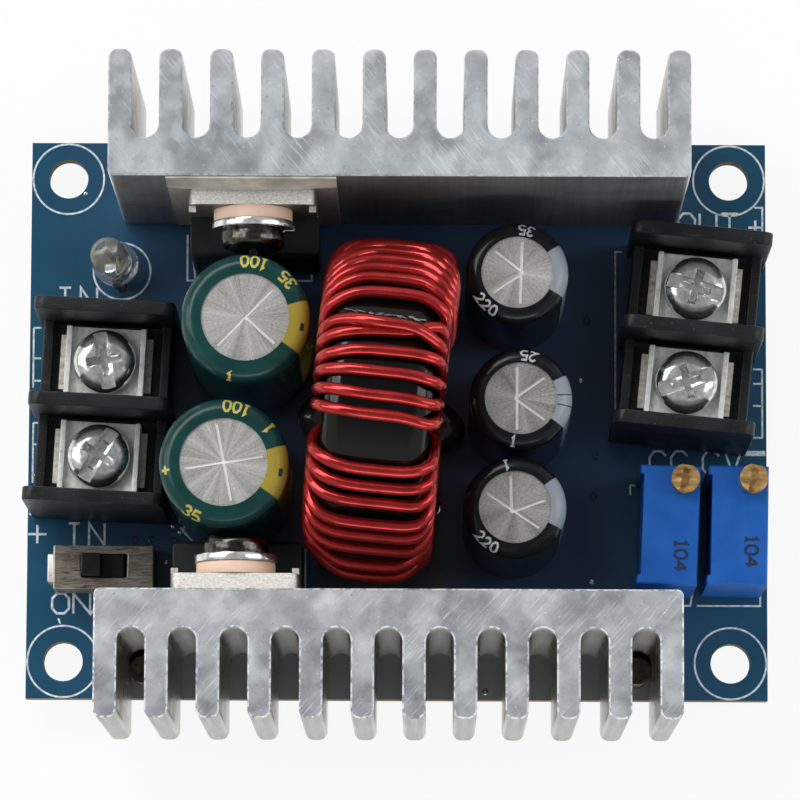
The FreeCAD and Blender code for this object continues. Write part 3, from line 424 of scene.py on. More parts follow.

# %% [markdown]
# ## Aluminium
#
# Each heat sink is a length sawn from an extruded bar. The sawn top shows the metal's coarse crystals
# as patches of slightly different grey, crossed by fine slanting saw marks and a few bright nicks.
# The long sides keep faint draw lines that run the length of the bar, and look darker because they
# mirror the board. The saw leaves a ragged burr along the edges of the cut, and the rounded edges are
# painted near white, partly for that burr and partly as a painted highlight.


# %% Heat sink metal
def sink_finish(name, saw_angle, dark, light, burr_highlight_share):
    """Sawn and extruded aluminium, with the saw marks at an angle and a share of burr and painted edge
    highlight.
    """
    metal = Finish(name, paint(196, 200, 203), 0.5, 0.85)
    place = metal.coords()
    crystals = metal.part(metal.soft_cells(metal.coords(turn=(0, 0, 30), scale=(1, 0.7, 1)), 0.42), "X")
    small = metal.part(metal.soft_cells(place, 1.1), "Y")
    wander = metal.noise(place, 0.5, detail=4.0)
    tone = metal.plus(metal.times(crystals, 0.4), metal.times(small, 0.2), metal.times(wander, 0.65))
    sawn = metal.mix(metal.fade(tone, 0.25, 1.0), dark, light)
    marks = metal.noise(metal.coords(turn=(0, 0, saw_angle), scale=(0.4, 9, 1)), 1.0, detail=3.0)
    patchy = metal.fade(metal.noise(place, 0.25, detail=2.0), 0.45, 0.62)
    sawn = metal.mix(metal.times(metal.fade(marks, 0.56, 0.68), patchy, 0.6), sawn, paint(232, 234, 236))
    nicks = metal.fade(metal.noise(place, 5.5, detail=2.0), 0.69, 0.76)
    sawn = metal.mix(metal.times(nicks, 0.8), sawn, paint(240, 241, 243))
    pits = metal.fade(metal.noise(place, 4.0, detail=3.0), 0.30, 0.36, 1.0, 0.0)
    sawn = metal.mix(metal.times(pits, 0.5), sawn, paint(110, 114, 120))

    lines = metal.noise(metal.coords(scale=(3.0, 3.0, 0.06)), 1.0, detail=4.0)
    drawn = metal.mix(lines, paint(120, 122, 124), paint(178, 178, 176))
    stains = metal.fade(metal.noise(place, 0.35, detail=3.0), 0.5, 0.75)
    drawn = metal.mix(metal.times(stains, 0.4), drawn, paint(96, 92, 86))
    walls = metal.fade(metal.math("ABSOLUTE", metal.normal_part("X")), 0.5, 0.8)
    drawn = metal.mix(walls, drawn, metal.mix(lines, paint(234, 232, 228), paint(255, 254, 250)))
    outer_end = metal.fade(metal.away(place, "Y"), 18.6, 18.9)
    drawn = metal.mix(outer_end, drawn, metal.mix(lines, paint(168, 167, 162), paint(206, 204, 199)))

    # painted highlight: the rounded edges are painted near white, partly for the saw's burr and partly for
    # the light they catch
    slope = metal.math("ABSOLUTE", metal.part(metal.flat_normal, "Z"))
    burr_and_highlight = metal.times(metal.fade(slope, 0.25, 0.35), metal.fade(slope, 0.9, 0.96, 1.0, 0.0))
    ragged = metal.fade(metal.noise(place, 2.2, detail=4.0), 0.42, 0.54)
    sawn = metal.mix(metal.times(burr_and_highlight, ragged, burr_highlight_share), sawn, paint(244, 245, 246))
    top_share = metal.fade(metal.math("ABSOLUTE", metal.normal_part("Z")), 0.5, 0.8)
    metal.colour(metal.mix(metal.math("MAXIMUM", top_share, burr_and_highlight), drawn, sawn))

    def other(share):
        return metal.math("SUBTRACT", 1.0, share)

    inner_face = metal.times(other(walls), other(outer_end), other(top_share))
    side_wall = metal.times(walls, other(top_share))
    mirror = metal.math("MAXIMUM", metal.times(inner_face, 0.75), metal.times(side_wall, 0.9))
    metal.metallic(metal.plus(metal.fade(top_share, 0.0, 1.0, 0.0, 0.4), mirror))
    matt = metal.fade(tone, 0.2, 1.0, 0.42, 0.56)
    metal.roughness(metal.math("SUBTRACT", matt, metal.times(side_wall, 0.2)))
    metal.bump(marks, 0.012)
    metal.bump(metal.noise(place, 2.6, detail=4.0), 0.03)
    return metal


upper_metal = sink_finish("upper_sink_metal", 52, paint(124, 129, 134), paint(201, 205, 208), 0.35)
lower_metal = sink_finish("lower_sink_metal", -48, paint(122, 126, 130), paint(206, 209, 212), 1.0)
print("two heat sink metals")

# %% [markdown]
# ## Plated and tinned metal
#
# The bright parts differ in how they were made. Stamped and turned parts carry a nickel plate that
# mirrors the lamps and is broken up by rubbing, tinned leads are softer and greyer, and solder is
# smooth and wet-looking. One helper makes them all, with a scratch direction where there is one.


# %% Bright metals
def bright_metal(name, dark, light, roughness, scratch=(1, 1, 1), worn=0.3, metallic=1.0):
    """Metal with uneven shine, stretched scratches and darker stains."""
    dark, light = paint(*dark), paint(*light)
    metal = Finish(name, light, roughness, metallic)
    place = metal.coords()
    rub = metal.noise(metal.coords(scale=scratch), 2.2, detail=5.0)
    stain = metal.fade(metal.noise(place, 0.9, detail=4.0), 0.42, 0.72)
    base = metal.mix(metal.fade(rub, 0.3, 0.7), dark, light)
    metal.colour(metal.mix(metal.times(stain, worn), base, dark))
    metal.roughness(metal.fade(rub, 0.3, 0.75, roughness * 0.7, roughness * 1.6))
    metal.bump(rub, 0.006)
    metal.bump(metal.noise(place, 1.3, detail=2.0), 0.015)
    return metal


nickel = bright_metal("nickel_plate", (196, 197, 195), (248, 249, 247), 0.14, worn=0.2)
nickel.metallic(nickel.fade(nickel.normal_part("Z"), 0.8, 0.97, 0.95, 0.6))
# painted reflection: the package screw, nickel-plated like the others, is painted dark for the dark parts
# round it that it mirrors
package_screw_dark_reflection = bright_metal("package_screw_dark_reflection", (40, 38, 35), (112, 107, 100), 0.16, worn=0.4)
clamp_plate = bright_metal("clamp_plate", (214, 215, 211), (254, 255, 252), 0.34, (1, 0.7, 1), 0.3, 0.12)
tinned = bright_metal("tinned_lead", (140, 138, 132), (206, 205, 200), 0.3, (1, 1, 0.2))
beige_tin = bright_metal("contact_tin", (180, 173, 156), (236, 232, 220), 0.32, (0.7, 1, 1), 0.3, 0.15)
solder = bright_metal("solder", (150, 152, 152), (216, 218, 218), 0.16, worn=0.15)
pin_residue = bright_metal("pin_residue", (52, 42, 32), (120, 104, 86), 0.4, worn=0.6, metallic=0.4)
brass = bright_metal("trimmer_brass", (146, 108, 60), (232, 192, 128), 0.36, (0.4, 1, 1), 0.35, 0.7)
dress(["transistor_leads", "rectifier_leads", "capacitor_leads", "lamp_leads", "switch_pins",
       "trimmer_pins"], tinned)
dress(["switch_contact"], beige_tin)
dress(["solder_joints"], solder)
dress(["heatsink_pins"], pin_residue)
dress(["current_trimmer_screw", "voltage_trimmer_screw"], brass)
print("eight bright metals")

# %% Package tab and pad
tab_metal = Finish("package_tab", paint(190, 188, 180), 0.45, 0.7)
place = tab_metal.coords()
speck = tab_metal.noise(place, 6.0, detail=4.0)
sheared = tab_metal.mix(tab_metal.fade(speck, 0.35, 0.65), paint(212, 209, 199), paint(254, 252, 246))
smooth_tin = tab_metal.mix(tab_metal.noise(tab_metal.coords(scale=(2, 1, 0.3)), 1.5),
                           paint(120, 117, 110), paint(168, 165, 157))
tab_metal.colour(tab_metal.mix(tab_metal.fade(tab_metal.normal_part("Z"), 0.5, 0.8), smooth_tin, sheared))
tab_metal.metallic(tab_metal.fade(tab_metal.normal_part("Z"), 0.5, 0.8, 0.85, 0.2))
tab_metal.bump(speck, 0.05)

pad = Finish("silicone_pad", paint(128, 122, 116), 0.6)
streaks = pad.noise(pad.coords(scale=(3, 1, 0.25)), 1.2, detail=4.0)
face_grey = pad.mix(streaks, paint(126, 120, 112), paint(172, 165, 156))
edge_grey = pad.mix(pad.noise(pad.coords(), 3.0, detail=3.0), paint(132, 128, 120), paint(178, 174, 166))
pad.colour(pad.mix(pad.fade(pad.normal_part("Z"), 0.4, 0.8), face_grey, edge_grey))
pad.bump(streaks, 0.02)
dress(["insulating_pad_upper", "insulating_pad_lower"], pad)
print("tabs and pads dressed")

# %% [markdown]
# ## Plastics
#
# The terminal housings are matt black with dust in the grain, the packages are matt moulded epoxy,
# the bushes are flesh-coloured nylon and the trimmers a satin blue. Each has a fine moulded grain.
# None is one flat colour: a slow change of tone and small specks keep them from looking drawn.


# %% Moulded plastics
def moulded(name, dark, light, roughness, grain, depth, dust=0.0, shine=0.5):
    """Moulded plastic with a slow change of tone, a fine grain and, if asked, pale dust specks."""
    plastic = Finish(name, paint(*light), roughness, Specular_IOR_Level=shine)
    place = plastic.coords()
    tone = plastic.fade(plastic.noise(place, 0.35, detail=4.0), 0.3, 0.7)
    surface = plastic.mix(tone, paint(*dark), paint(*light))
    if dust:
        specks = plastic.fade(plastic.noise(place, 6.5, detail=1.0), 0.72, 0.78)
        scuffs = plastic.fade(plastic.noise(plastic.coords(scale=(0.2, 2, 2)), 2.0, detail=3.0), 0.62, 0.8)
        pale = plastic.times(plastic.math("MAXIMUM", specks, plastic.times(scuffs, 0.4)), dust)
        surface = plastic.mix(pale, surface, paint(150, 150, 148))
    plastic.colour(surface)
    plastic.roughness(plastic.fade(tone, 0.0, 1.0, roughness * 0.85, min(1.0, roughness * 1.15)))
    plastic.bump(plastic.noise(place, grain, detail=3.0), depth)
    return plastic


housing_black = moulded("housing_black", (13, 14, 15), (24, 25, 27), 0.42, 4.0, 0.012, 0.4, 0.35)
package_black = moulded("package_black", (16, 17, 19), (26, 27, 29), 0.5, 8.0, 0.015, 0.15, 0.35)
bush_nylon = moulded("bush_nylon", (238, 198, 172), (252, 220, 198), 0.45, 2.0, 0.01)
trimmer_blue = moulded("trimmer_blue", (10, 80, 160), (22, 92, 178), 0.45, 5.0, 0.008, shine=0.3)
switch_black = moulded("switch_black", (12, 12, 13), (26, 25, 26), 0.4, 5.0, 0.01, 0.3, 0.35)
dress(["switch_base"], moulded("base_laminate", (70, 46, 28), (104, 72, 44), 0.6, 4.0, 0.02))
dress(["capacitor_bungs"], moulded("bung_rubber", (18, 18, 18), (34, 33, 32), 0.7, 3.0, 0.03, 0.2))
dress(["control_chip", "amplifier_chip"],
      moulded("chip_black", (20, 20, 22), (32, 32, 35), 0.5, 7.0, 0.015, 0.15))
dress(["chip_capacitors"], moulded("chip_tan", (140, 110, 80), (172, 140, 104), 0.5, 5.0, 0.01))
dress(["shunt_resistors", "chip_resistors"],
      moulded("chip_dark", (22, 22, 25), (40, 40, 44), 0.3, 6.0, 0.01))
print("ten plastics")

# %% [markdown]
# ## Core, wire, adhesive and lamp
#
# The ring core has a thick glossy black coat whose bevels catch the soft boxes as thin white lines.
# The wire is copper under a clear red enamel, so it needs both a metal's warmth and a lacquer's gloss.
# The adhesive has set in a glossy black lump, painted a dark grey, lighter than black, as painted light in
# the hollow where it sits. The lamp is clear resin round a pale metal cup.

# %% Core, wire, adhesive and lamp finishes
core_coat = Finish("core_coat", paint(20, 20, 22), 0.08, Specular_IOR_Level=0.38)
place = core_coat.coords()
core_coat.colour(core_coat.mix(core_coat.noise(place, 0.8), paint(7, 6, 6), paint(13, 11, 11)))
core_coat.roughness(core_coat.fade(core_coat.noise(place, 2.5, detail=4.0), 0.3, 0.7, 0.05, 0.1))
core_coat.bump(core_coat.noise(place, 0.7, detail=2.0), 0.015)

enamel = Finish("red_enamel", paint(180, 24, 24), 0.18, 0.72, Coat_Weight=0.35, Coat_Roughness=0.1)
place = enamel.coords()
enamel_tone = enamel.fade(enamel.noise(place, 0.6, detail=2.0), 0.3, 0.7)
enamel.colour(enamel.mix(enamel_tone, paint(196, 48, 46), paint(164, 31, 31)))
enamel.roughness(enamel.fade(enamel.noise(place, 1.5, detail=2.0), 0.3, 0.7, 0.14, 0.22))
enamel.bump(enamel.noise(place, 1.4, detail=2.0), 0.008)

glue = Finish("set_adhesive", paint(14, 14, 15), 0.1, Coat_Weight=0.4, Coat_Roughness=0.05)
place = glue.coords()
# painted light: the black adhesive is painted dark grey, lighter than its own colour, to stand in for light
# in the hollow between the coil and the cans
glue.colour(glue.mix(glue.noise(place, 1.0), paint(40, 37, 38), paint(70, 65, 66)))
glue.roughness(glue.fade(glue.noise(place, 1.8, detail=3.0), 0.3, 0.7, 0.06, 0.25))
glue.bump(glue.noise(place, 0.55, detail=2.0), 0.25)
dress(["inductor_adhesive"], glue)

resin = Finish("clear_resin", (0.93, 0.95, 0.94, 1.0), 0.04, IOR=1.5, Transmission_Weight=0.94)
place = resin.coords()
resin.colour(resin.mix(resin.noise(place, 1.2), (0.90, 0.92, 0.90, 1.0), (0.97, 0.98, 0.97, 1.0)))
resin.bump(resin.noise(place, 1.5, detail=2.0), 0.01)
dress(["lamp_lens"], resin)
print("core, wire, adhesive and lamp finishes")

# %% [markdown]
# ## Cans and sleeves
#
# An electrolytic can is drawn from soft aluminium, so its flat top keeps fine marks that run out from the
# middle. The vent is scored into it, and the groove is painted near white as a painted highlight for the
# light its walls catch. Around the can is a shrink sleeve, glossy, with a stripe down the negative side.
# Both finishes are worked out about the can's own middle.


# %% Can and sleeve finishes
def top_middle(node):
    """The middle of the upper end of a solid piece."""
    low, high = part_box(node)
    return ((low.x + high.x) / 2, (low.y + high.y) / 2, high.z)


def can_finish(name, node, dark, light, sectors):
    """Drawn aluminium with marks that run out from the middle of the can's top, and scored lines painted
    bright as a highlight.
    """
    metal = Finish(name, light, 0.42, 0.55)
    place = metal.coords(centre=top_middle(node))
    flat_place = metal.add("VectorMath", {0: place, 1: (1, 1, 0)}, operation="MULTIPLY")
    outward = metal.add("VectorMath", {0: flat_place.outputs[0]}, operation="NORMALIZE").outputs[0]
    streaks = metal.noise(outward, 30.0, detail=5.0, roughness=0.8)
    broad = metal.noise(outward, sectors, detail=1.0)
    speckle = metal.noise(place, 5.0, detail=4.0, roughness=0.7)
    tone = metal.plus(metal.times(streaks, 0.5), metal.times(broad, 0.3), metal.times(speckle, 0.3))
    top = metal.mix(metal.fade(tone, 0.42, 0.70), dark, light)
    # painted highlight: the scored groove, below the top's face, is painted near white for the light its
    # walls catch
    scored_highlight = metal.fade(metal.part(place, "Z"), -0.10, -0.03, 1.0, 0.0)
    metal.colour(metal.mix(metal.times(scored_highlight, 0.9), top, paint(240, 239, 236)))
    metal.roughness(metal.fade(streaks, 0.3, 0.7, 0.34, 0.52))
    metal.bump(streaks, 0.02)
    dress([node], metal)


def sleeve_finish(name, node, dark, light, stripe, middle_angle, half_width):
    """Glossy shrink sleeve with a stripe centred on an angle, half a width to each side of it."""
    film = Finish(name, light, 0.18, Specular_IOR_Level=0.28)
    place = film.coords(centre=top_middle(node), turn=(0, 0, -middle_angle))
    around = film.math("ABSOLUTE", film.math("ARCTAN2", film.part(place, "Y"), film.part(place, "X")))
    edge, soft = math.radians(half_width), 0.012
    inside = film.fade(around, edge - soft, edge + soft, 1.0, 0.0)
    cloud = film.noise(film.coords(), 0.5, detail=3.0)
    ground = film.mix(film.fade(cloud, 0.3, 0.7), dark, light)
    film.colour(film.mix(inside, ground, film.mix(film.times(cloud, 0.3), stripe, dark)))
    film.roughness(film.fade(film.noise(film.coords(), 1.4, detail=3.0), 0.3, 0.7, 0.12, 0.24))
    film.bump(film.noise(film.coords(scale=(1, 1, 0.3)), 0.8, detail=2.0), 0.02)
    dress([node], film)


for level, sectors in (("upper", 2.2), ("lower", 3.0)):
    name = "input_capacitor_" + level
    can_finish(name + "_top_metal", name + "_can", paint(120, 119, 116), paint(208, 206, 202), sectors)
    sleeve_finish(name + "_film", name + "_sleeve", paint(16, 52, 50), paint(22, 66, 63),
                  paint(172, 152, 58), middle_angle=-9, half_width=25)
for level, dark, light, sectors, stripe_angle in (
        ("upper", paint(112, 111, 108), paint(204, 202, 198), 1.5, 3),
        ("middle", paint(92, 91, 88), paint(196, 194, 190), 1.9, -3),
        ("lower", paint(92, 91, 88), paint(196, 194, 190), 1.2, 6)):
    name = "output_capacitor_" + level
    can_finish(name + "_top_metal", name + "_can", dark, light, sectors)
    sleeve_finish(name + "_film", name + "_sleeve", paint(14, 15, 16), paint(24, 25, 27),
                  paint(150, 160, 168), middle_angle=stripe_angle, half_width=31)
print("five cans and five sleeves")

# %% The switch's sheet metal
frame_metal = Finish("switch_sheet", paint(128, 118, 108), 0.34, 0.65)
place = frame_metal.coords()
rolled = frame_metal.noise(frame_metal.coords(scale=(0.5, 3.2, 1)), 1.2, detail=3.0, distortion=1.4)
sheet = frame_metal.mix(frame_metal.fade(rolled, 0.35, 0.65), paint(104, 95, 86), paint(168, 158, 146))
bright_end = frame_metal.fade(frame_metal.part(place, "X"), -27.45, -27.75)
frame_metal.colour(frame_metal.mix(bright_end, sheet, paint(214, 210, 206)))
frame_metal.roughness(frame_metal.fade(rolled, 0.3, 0.7, 0.26, 0.44))
frame_metal.bump(rolled, 0.02)
print("sheet metal")

# %% [markdown]
# ## Rounding sharp edges
#
# A solid from the drawing has edges as sharp as mathematics, while a moulded or stamped one has a small
# round that catches a line of light. We take a copy of each such piece, merge its loose corners, bevel every
# edge that turns by more than thirty degrees, and let the copy stand for the solid.


# %% Copies with rounded edges
def rounded_copy(node, finish, body="module", width=0.12, steps=2, smooth=40.0):
    """A copy of a solid piece with its edges rounded, which stands for it."""
    piece = add_object(node + "_dressed", parts[node].data.copy())
    take(piece)
    bpy.ops.mesh.customdata_custom_splitnormals_clear()
    edit_all(piece)
    bpy.ops.mesh.remove_doubles(threshold=0.004 * mm)
    bpy.ops.mesh.mark_sharp(clear=True)
    bpy.ops.mesh.dissolve_limited(angle_limit=math.radians(0.6))
    bpy.ops.object.mode_set(mode="OBJECT")
    add_modifier(piece, "BEVEL", width=width * mm, segments=steps, limit_method="ANGLE",
                 angle_limit=math.radians(30), miter_outer="MITER_ARC" if steps > 1 else "MITER_SHARP")
    settle(piece, finish, body, smooth)
    if smooth:
        add_modifier(piece, "WEIGHTED_NORMAL", keep_sharp=True)
    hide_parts(node)
    return piece


rounded = [
    rounded_copy("heatsink_upper", upper_metal, steps=1, width=0.13, smooth=None),
    rounded_copy("heatsink_lower", lower_metal, steps=1, width=0.13, smooth=None),
    rounded_copy("input_terminal_housing", housing_black),
    rounded_copy("output_terminal_housing", housing_black),
    rounded_copy("input_contact_plates", beige_tin, width=0.1),
    rounded_copy("output_contact_plates", beige_tin, width=0.1),
    rounded_copy("transistor_body", package_black),
    rounded_copy("rectifier_body", package_black),
    rounded_copy("transistor_tab", tab_metal, width=0.08),
    rounded_copy("rectifier_tab", tab_metal, width=0.08),
    rounded_copy("insulating_bushes", bush_nylon),
    rounded_copy("spring_washers", nickel, width=0.05),
    rounded_copy("package_screws", package_screw_dark_reflection, width=0.07),
    rounded_copy("inductor_core", core_coat, width=0.61, steps=7),
    rounded_copy("current_trimmer_body", trimmer_blue, width=0.07),
    rounded_copy("voltage_trimmer_body", trimmer_blue, width=0.07),
    rounded_copy("switch_frame", frame_metal, width=0.12, steps=3),
    rounded_copy("switch_slider", switch_black, "slider", width=0.1),
]
for clamp in ("input_clamp_upper", "input_clamp_lower", "output_clamp_upper", "output_clamp_lower"):
    rounded.append(rounded_copy(clamp, clamp_plate, clamp, width=0.11))
print(len(rounded), "rounded pieces,", sum(len(piece.data.polygons) for piece in rounded), "faces")

# %% [markdown]
# ## The winding
#
# One enamelled wire goes round the ring core thirty-one times, in loose groups with bare core
# between them, and two of the turns cross. Each turn that the eye can see from above has three angles of
# its own: at its left shoulder, in the middle of its run and at its right shoulder, and a smooth line joins
# them. In the ring's bore, where there is less room, every second turn lies on its neighbours. A turn is
# laid close to the core like a rounded rectangle, with a tighter shoulder on the right.
# The wire is one curve with a round section, which is made a mesh at the end.

# %% Turns of the wire
lead_tip = floor_height / mm
coil_middle = Vector((-1.3, -0.6, 14.9))
coil_turn = math.radians(-5.2)
wire_radius = 0.475
section_middle, half_across, half_deep = 9.6, 4.74, 3.12
squareness, right_squareness = 3.2, 5.0
luck = random.Random(7)


def hidden_turns(angles):
    """Even turns that the eye can't see from above, each a little off."""
    return [(angle + 1.3, angle + luck.uniform(-0.5, 0.5), angle - 1.3) for angle in angles]


seen_turns = [
    (59.4, 72.0, 63.6), (54.6, 62.8, 56.6), (50.0, 55.6, 50.2), (45.2, 49.4, 44.4), (39.8, 43.4, 38.6),
    (32.6, 35.8, 32.4), (23.1, 20.4, 17.4), (17.4, 19.4, 23.6), (10.2, 11.7, 10.9), (4.2, 4.2, 2.6),
    (-3.0, -4.2, -5.6), (-10.0, -10.9, -13.0), (-28.6, -30.8, -29.4), (-35.6, -37.4, -36.6),
    (-42.6, -43.9, -44.2), (-52.8, -54.2, -53.6), (-59.6, -60.8, -60.4), (-68.0, -69.6, -69.2),
    (-77.0, -80.0, -77.0),
]
hidden_above = hidden_turns((150, 136, 122, 109, 96, 84))
turns = hidden_above + seen_turns + hidden_turns((-90, -101, -112, -124, -137, -150))
over = len(hidden_above) + 6
lifts = {over: 0.85, over + 1: -0.08, over + 12: 0.5, over + 13: 0.85, over + 14: 0.6}
side_bulge, bulging = 0.07, range(over - 6, over - 1)
inner_share = 0.85
second_layer = 0.95
print(len(turns), "turns")


# %% The wire's path
def flattened_circle(angle):
    """Across and outward parts of a rounded rectangle at an angle."""
    across, outward = math.cos(angle), math.sin(angle)
    power = 2 / (right_squareness if across > 0 else squareness)
    return (math.copysign(abs(across) ** power, across), math.copysign(abs(outward) ** power, outward))


def wire_point(across, radius, around):
    """A point of the winding in the row frame, in millimetres."""
    angle = math.radians(around)
    spot = Vector((across, radius * math.sin(angle), radius * math.cos(angle)))
    return Matrix.Rotation(coil_turn, 3, "Z") @ spot + coil_middle


def angle_through(keys, time):
    """The angle at a time on a smooth line through pairs of time and angle."""
    spot = max(1, min(len(keys) - 3, sum(1 for key in keys if key[0] <= time) - 1))
    (t0, a0), (t1, a1), (t2, a2), (t3, a3) = keys[spot - 1:spot + 3]
    run = t2 - t1
    leave, arrive = (a2 - a0) / (t2 - t0) * run, (a3 - a1) / (t3 - t1) * run
    share = (time - t1) / run
    return (a1 + leave * share + (3 * (a2 - a1) - 2 * leave - arrive) * share ** 2
            + (2 * (a1 - a2) + leave + arrive) * share ** 3)


keys = [(-1, inner_share * turns[0][0])]
for index, (left, middle, right) in enumerate(turns):
    following = turns[min(index + 1, len(turns) - 1)][0]
    keys += [(4 * index, left), (4 * index + 0.5, middle), (4 * index + 1, right),
             (4 * index + 2, inner_share * right), (4 * index + 3, inner_share * following)]
print(len(keys), "angles along the wire")

# %% Points of the wire
steps_between = 24
dense = []
for step in range(steps_between * (4 * len(turns) - 2)):
    time = step / steps_between
    index, quarter, share = int(time // 4), int(time % 4), time % 1
    across, outward = flattened_circle(math.radians(135 - 90 * time))
    hump = math.sin(math.pi * share) ** 2
    away = 0.0
    if quarter == 0:
        away = lifts.get(index, 0.0) * hump
    if quarter == 1 and index in bulging:
        across *= 1 + side_bulge * hump
    if quarter == 2 and index % 2:
        away = -second_layer * hump
    radius = section_middle + half_deep * outward + away
    dense.append(wire_point(half_across * across, radius, angle_through(keys, time)))
lead_ends = [corner.co / mm for corner in parts["inductor_winding"].data.vertices
             if corner.co.z < floor_height + 0.2 * mm]
leads = []
for near in (dense[0], dense[-1]):
    close = [spot for spot in lead_ends if (spot - near).xy.length < 6]
    middle = sum(close, Vector((0, 0, 0))) / len(close)
    leads.append([Vector((middle.x, middle.y, height)) for height in (lead_tip, 0.0, board_top + 0.6)])
dense = leads[0] + dense + leads[1][::-1]
even = [dense[0]]
spacing = 0.55
for point in dense[1:]:
    if (point - even[-1]).length >= spacing:
        even.append(point)
if (dense[-1] - even[-1]).length > 0.01:
    even.append(dense[-1])
print(len(even), "points along", round(sum((b - a).length for a, b in zip(even, even[1:]))), "mm of wire")


# %% The wire itself
def wire_along(name, points, radius, roundness=6):
    """A round wire through points given in millimetres, as a curve object."""
    curve = bpy.data.curves.new(name, "CURVE")
    curve.dimensions = "3D"
    spline = curve.splines.new("POLY")
    spline.points.add(len(points) - 1)
    for target, point in zip(spline.points, points):
        target.co = (*(Vector(point) * mm), 1.0)
    curve.bevel_depth = radius * mm
    curve.bevel_resolution = roundness
    curve.use_fill_caps = True
    return add_object(name, curve)


winding = settle(wire_along("winding", even, wire_radius), enamel, smooth=60)
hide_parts("inductor_winding")
print("winding faces", len(winding.data.polygons), "top",
      round(max(v.co.z for v in winding.data.vertices) / mm, 2))

# %% [markdown]
# ## Terminal screws
#
# Each terminal screw has a tall round head with a wide slot and a cross cut over it. The head and its
# threaded shank are one turned shape, so a profile is spun round the axis. The slot and the cross are then
# cut with tapered blocks, and the cut edges are bevelled so that they sparkle.


# %% Turned shapes
def lathe(name, profile, steps=48):
    """Spins a profile of radius and height pairs, in millimetres, round the Z axis."""
    mesh = bpy.data.meshes.new(name)
    mesh.from_pydata([(radius * mm, 0, height * mm) for radius, height in profile],
                     [(index, index + 1) for index in range(len(profile) - 1)], [])
    piece = add_object(name, mesh)
    edit_all(piece)
    bpy.ops.mesh.spin(steps=steps, angle=math.tau, center=(0, 0, 0), axis=(0, 0, 1))
    bpy.ops.mesh.select_all(action="SELECT")
    bpy.ops.mesh.remove_doubles(threshold=0.001 * mm)
    bpy.ops.mesh.normals_make_consistent(inside=False)
    bpy.ops.object.mode_set(mode="OBJECT")
    return piece


def add_block(name, size, place):
    """A block of a size at a place, in millimetres."""
    clear_selection()
    bpy.ops.mesh.primitive_cube_add(size=mm, location=[value * mm for value in place])
    block = bpy.context.object
    block.name = name
    block.scale = size
    return block


def tapered_block(name, size, place, taper, turn=0.0):
    """A block with its lower face drawn in, for cutting."""
    block = add_block(name, size, place)
    shrink_faces(block, lambda normal: normal.z < -0.5, (taper, taper, 1.0))
    block.rotation_euler.z = math.radians(turn)
    take(block)
    bpy.ops.object.transform_apply(location=True, rotation=True, scale=True)
    return block


def cut(piece, tools):
    """Cuts each tool out of the piece, and takes the tool away."""
    for tool in tools:
        add_modifier(piece, "BOOLEAN", operation="DIFFERENCE", solver="EXACT", object=tool)
        bpy.data.objects.remove(tool)


print("lathe and cutters ready")

# %% One terminal screw
head_bottom = 9.04
thread_count, thread_pitch = 7, 0.8
profile = [(0.0, -6.0), (1.3, -6.0)]
for thread in range(thread_count):
    root = -5.7 + thread * thread_pitch
    profile += [(1.42, root), (1.74, root + thread_pitch / 2)]
profile += [(1.45, -0.1), (1.45, 0.0)]
profile += [(2.35, 0.0), (2.52, 0.08), (2.55, 0.25), (2.55, 0.72), (2.5, 1.0), (2.37, 1.28), (2.16, 1.52),
            (1.88, 1.7), (1.5, 1.81), (0.9, 1.88), (0.0, 1.9)]
screw_master = lathe("screw_master", profile, steps=56)
cut(screw_master, [
    tapered_block("slot_cutter", (6.0, 1.15, 2.0), (0, 0, 2.35), 0.98),
    tapered_block("cross_one", (3.5, 0.84, 2.0), (0, 0, 1.8), 0.62),
    tapered_block("cross_two", (0.84, 3.5, 2.0), (0, 0, 1.8), 0.62),
    tapered_block("centre_facets", (1.7, 1.7, 1.2), (0, 0, 1.72), 0.3, 45),
])
add_modifier(screw_master, "BEVEL", width=0.05 * mm, segments=2, limit_method="ANGLE",
             angle_limit=math.radians(35))
print("one screw", len(screw_master.data.polygons), "faces")

# %% Four terminal screws
screw_places = {
    "input_screw_upper": (-23.392, 3.555, 100.0),
    "input_screw_lower": (-23.791, -4.055, 59.0),
    "output_screw_upper": (23.875, 9.592, -17.0),
    "output_screw_lower": (23.131, 2.008, 17.0),
}
for node, (x, y, angle) in screw_places.items():
    screw = add_object(node + "_dressed", screw_master.data.copy())
    screw.location = (x * mm, y * mm, head_bottom * mm)
    screw.rotation_euler.z = math.radians(angle)
    settle(screw, nickel, node, 35)
    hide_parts(node)
bpy.data.objects.remove(screw_master)
print("four screws")

# %% [markdown]
# ## The lamp
#
# The lens is a clear cast shape that leans on its leads. What the eye really sees in it is the pale metal
# cup that holds the chip, and the second post beside it, bent by the lens. Both are small turned or bevelled
# pieces that are made upright and then leaned by the same angle about the bend of the leads.

# %% Cup, post and bond wire
lamp_foot = Vector((-22.56, 12.17, 0.0))
lamp_bend = Vector((-22.56, 12.17, 2.1)) * mm
lean_way = math.radians(158.0)
lean = Matrix.Rotation(math.radians(8.5), 4, Vector((-math.sin(lean_way), math.cos(lean_way), 0)))
cup = lathe("lamp_cup", [(0.0, 0.0), (0.34, 0.0), (0.42, 0.2), (0.5, 0.55), (0.92, 1.05), (0.95, 1.2),
                         (0.88, 1.22), (0.8, 1.16), (0.42, 0.78), (0.0, 0.76)], steps=32)
cup.location = (lamp_foot + Vector((0, -0.36, 5.2))) * mm
post = add_block("lamp_post", (0.6, 0.5, 1.1), lamp_foot + Vector((0, 0.86, 5.75)))
shrink_faces(post, lambda normal: normal.z > 0.5, (0.6, 0.5, 1.0))
add_modifier(post, "BEVEL", width=0.06 * mm, segments=2)
bond = [lamp_foot + Vector(spot)
        for spot in ((0, -0.36, 6.1), (0, -0.1, 6.6), (0, 0.4, 6.65), (0, 0.8, 6.3))]
bond_wire = wire_along("bond_wire", bond, 0.03, 1)
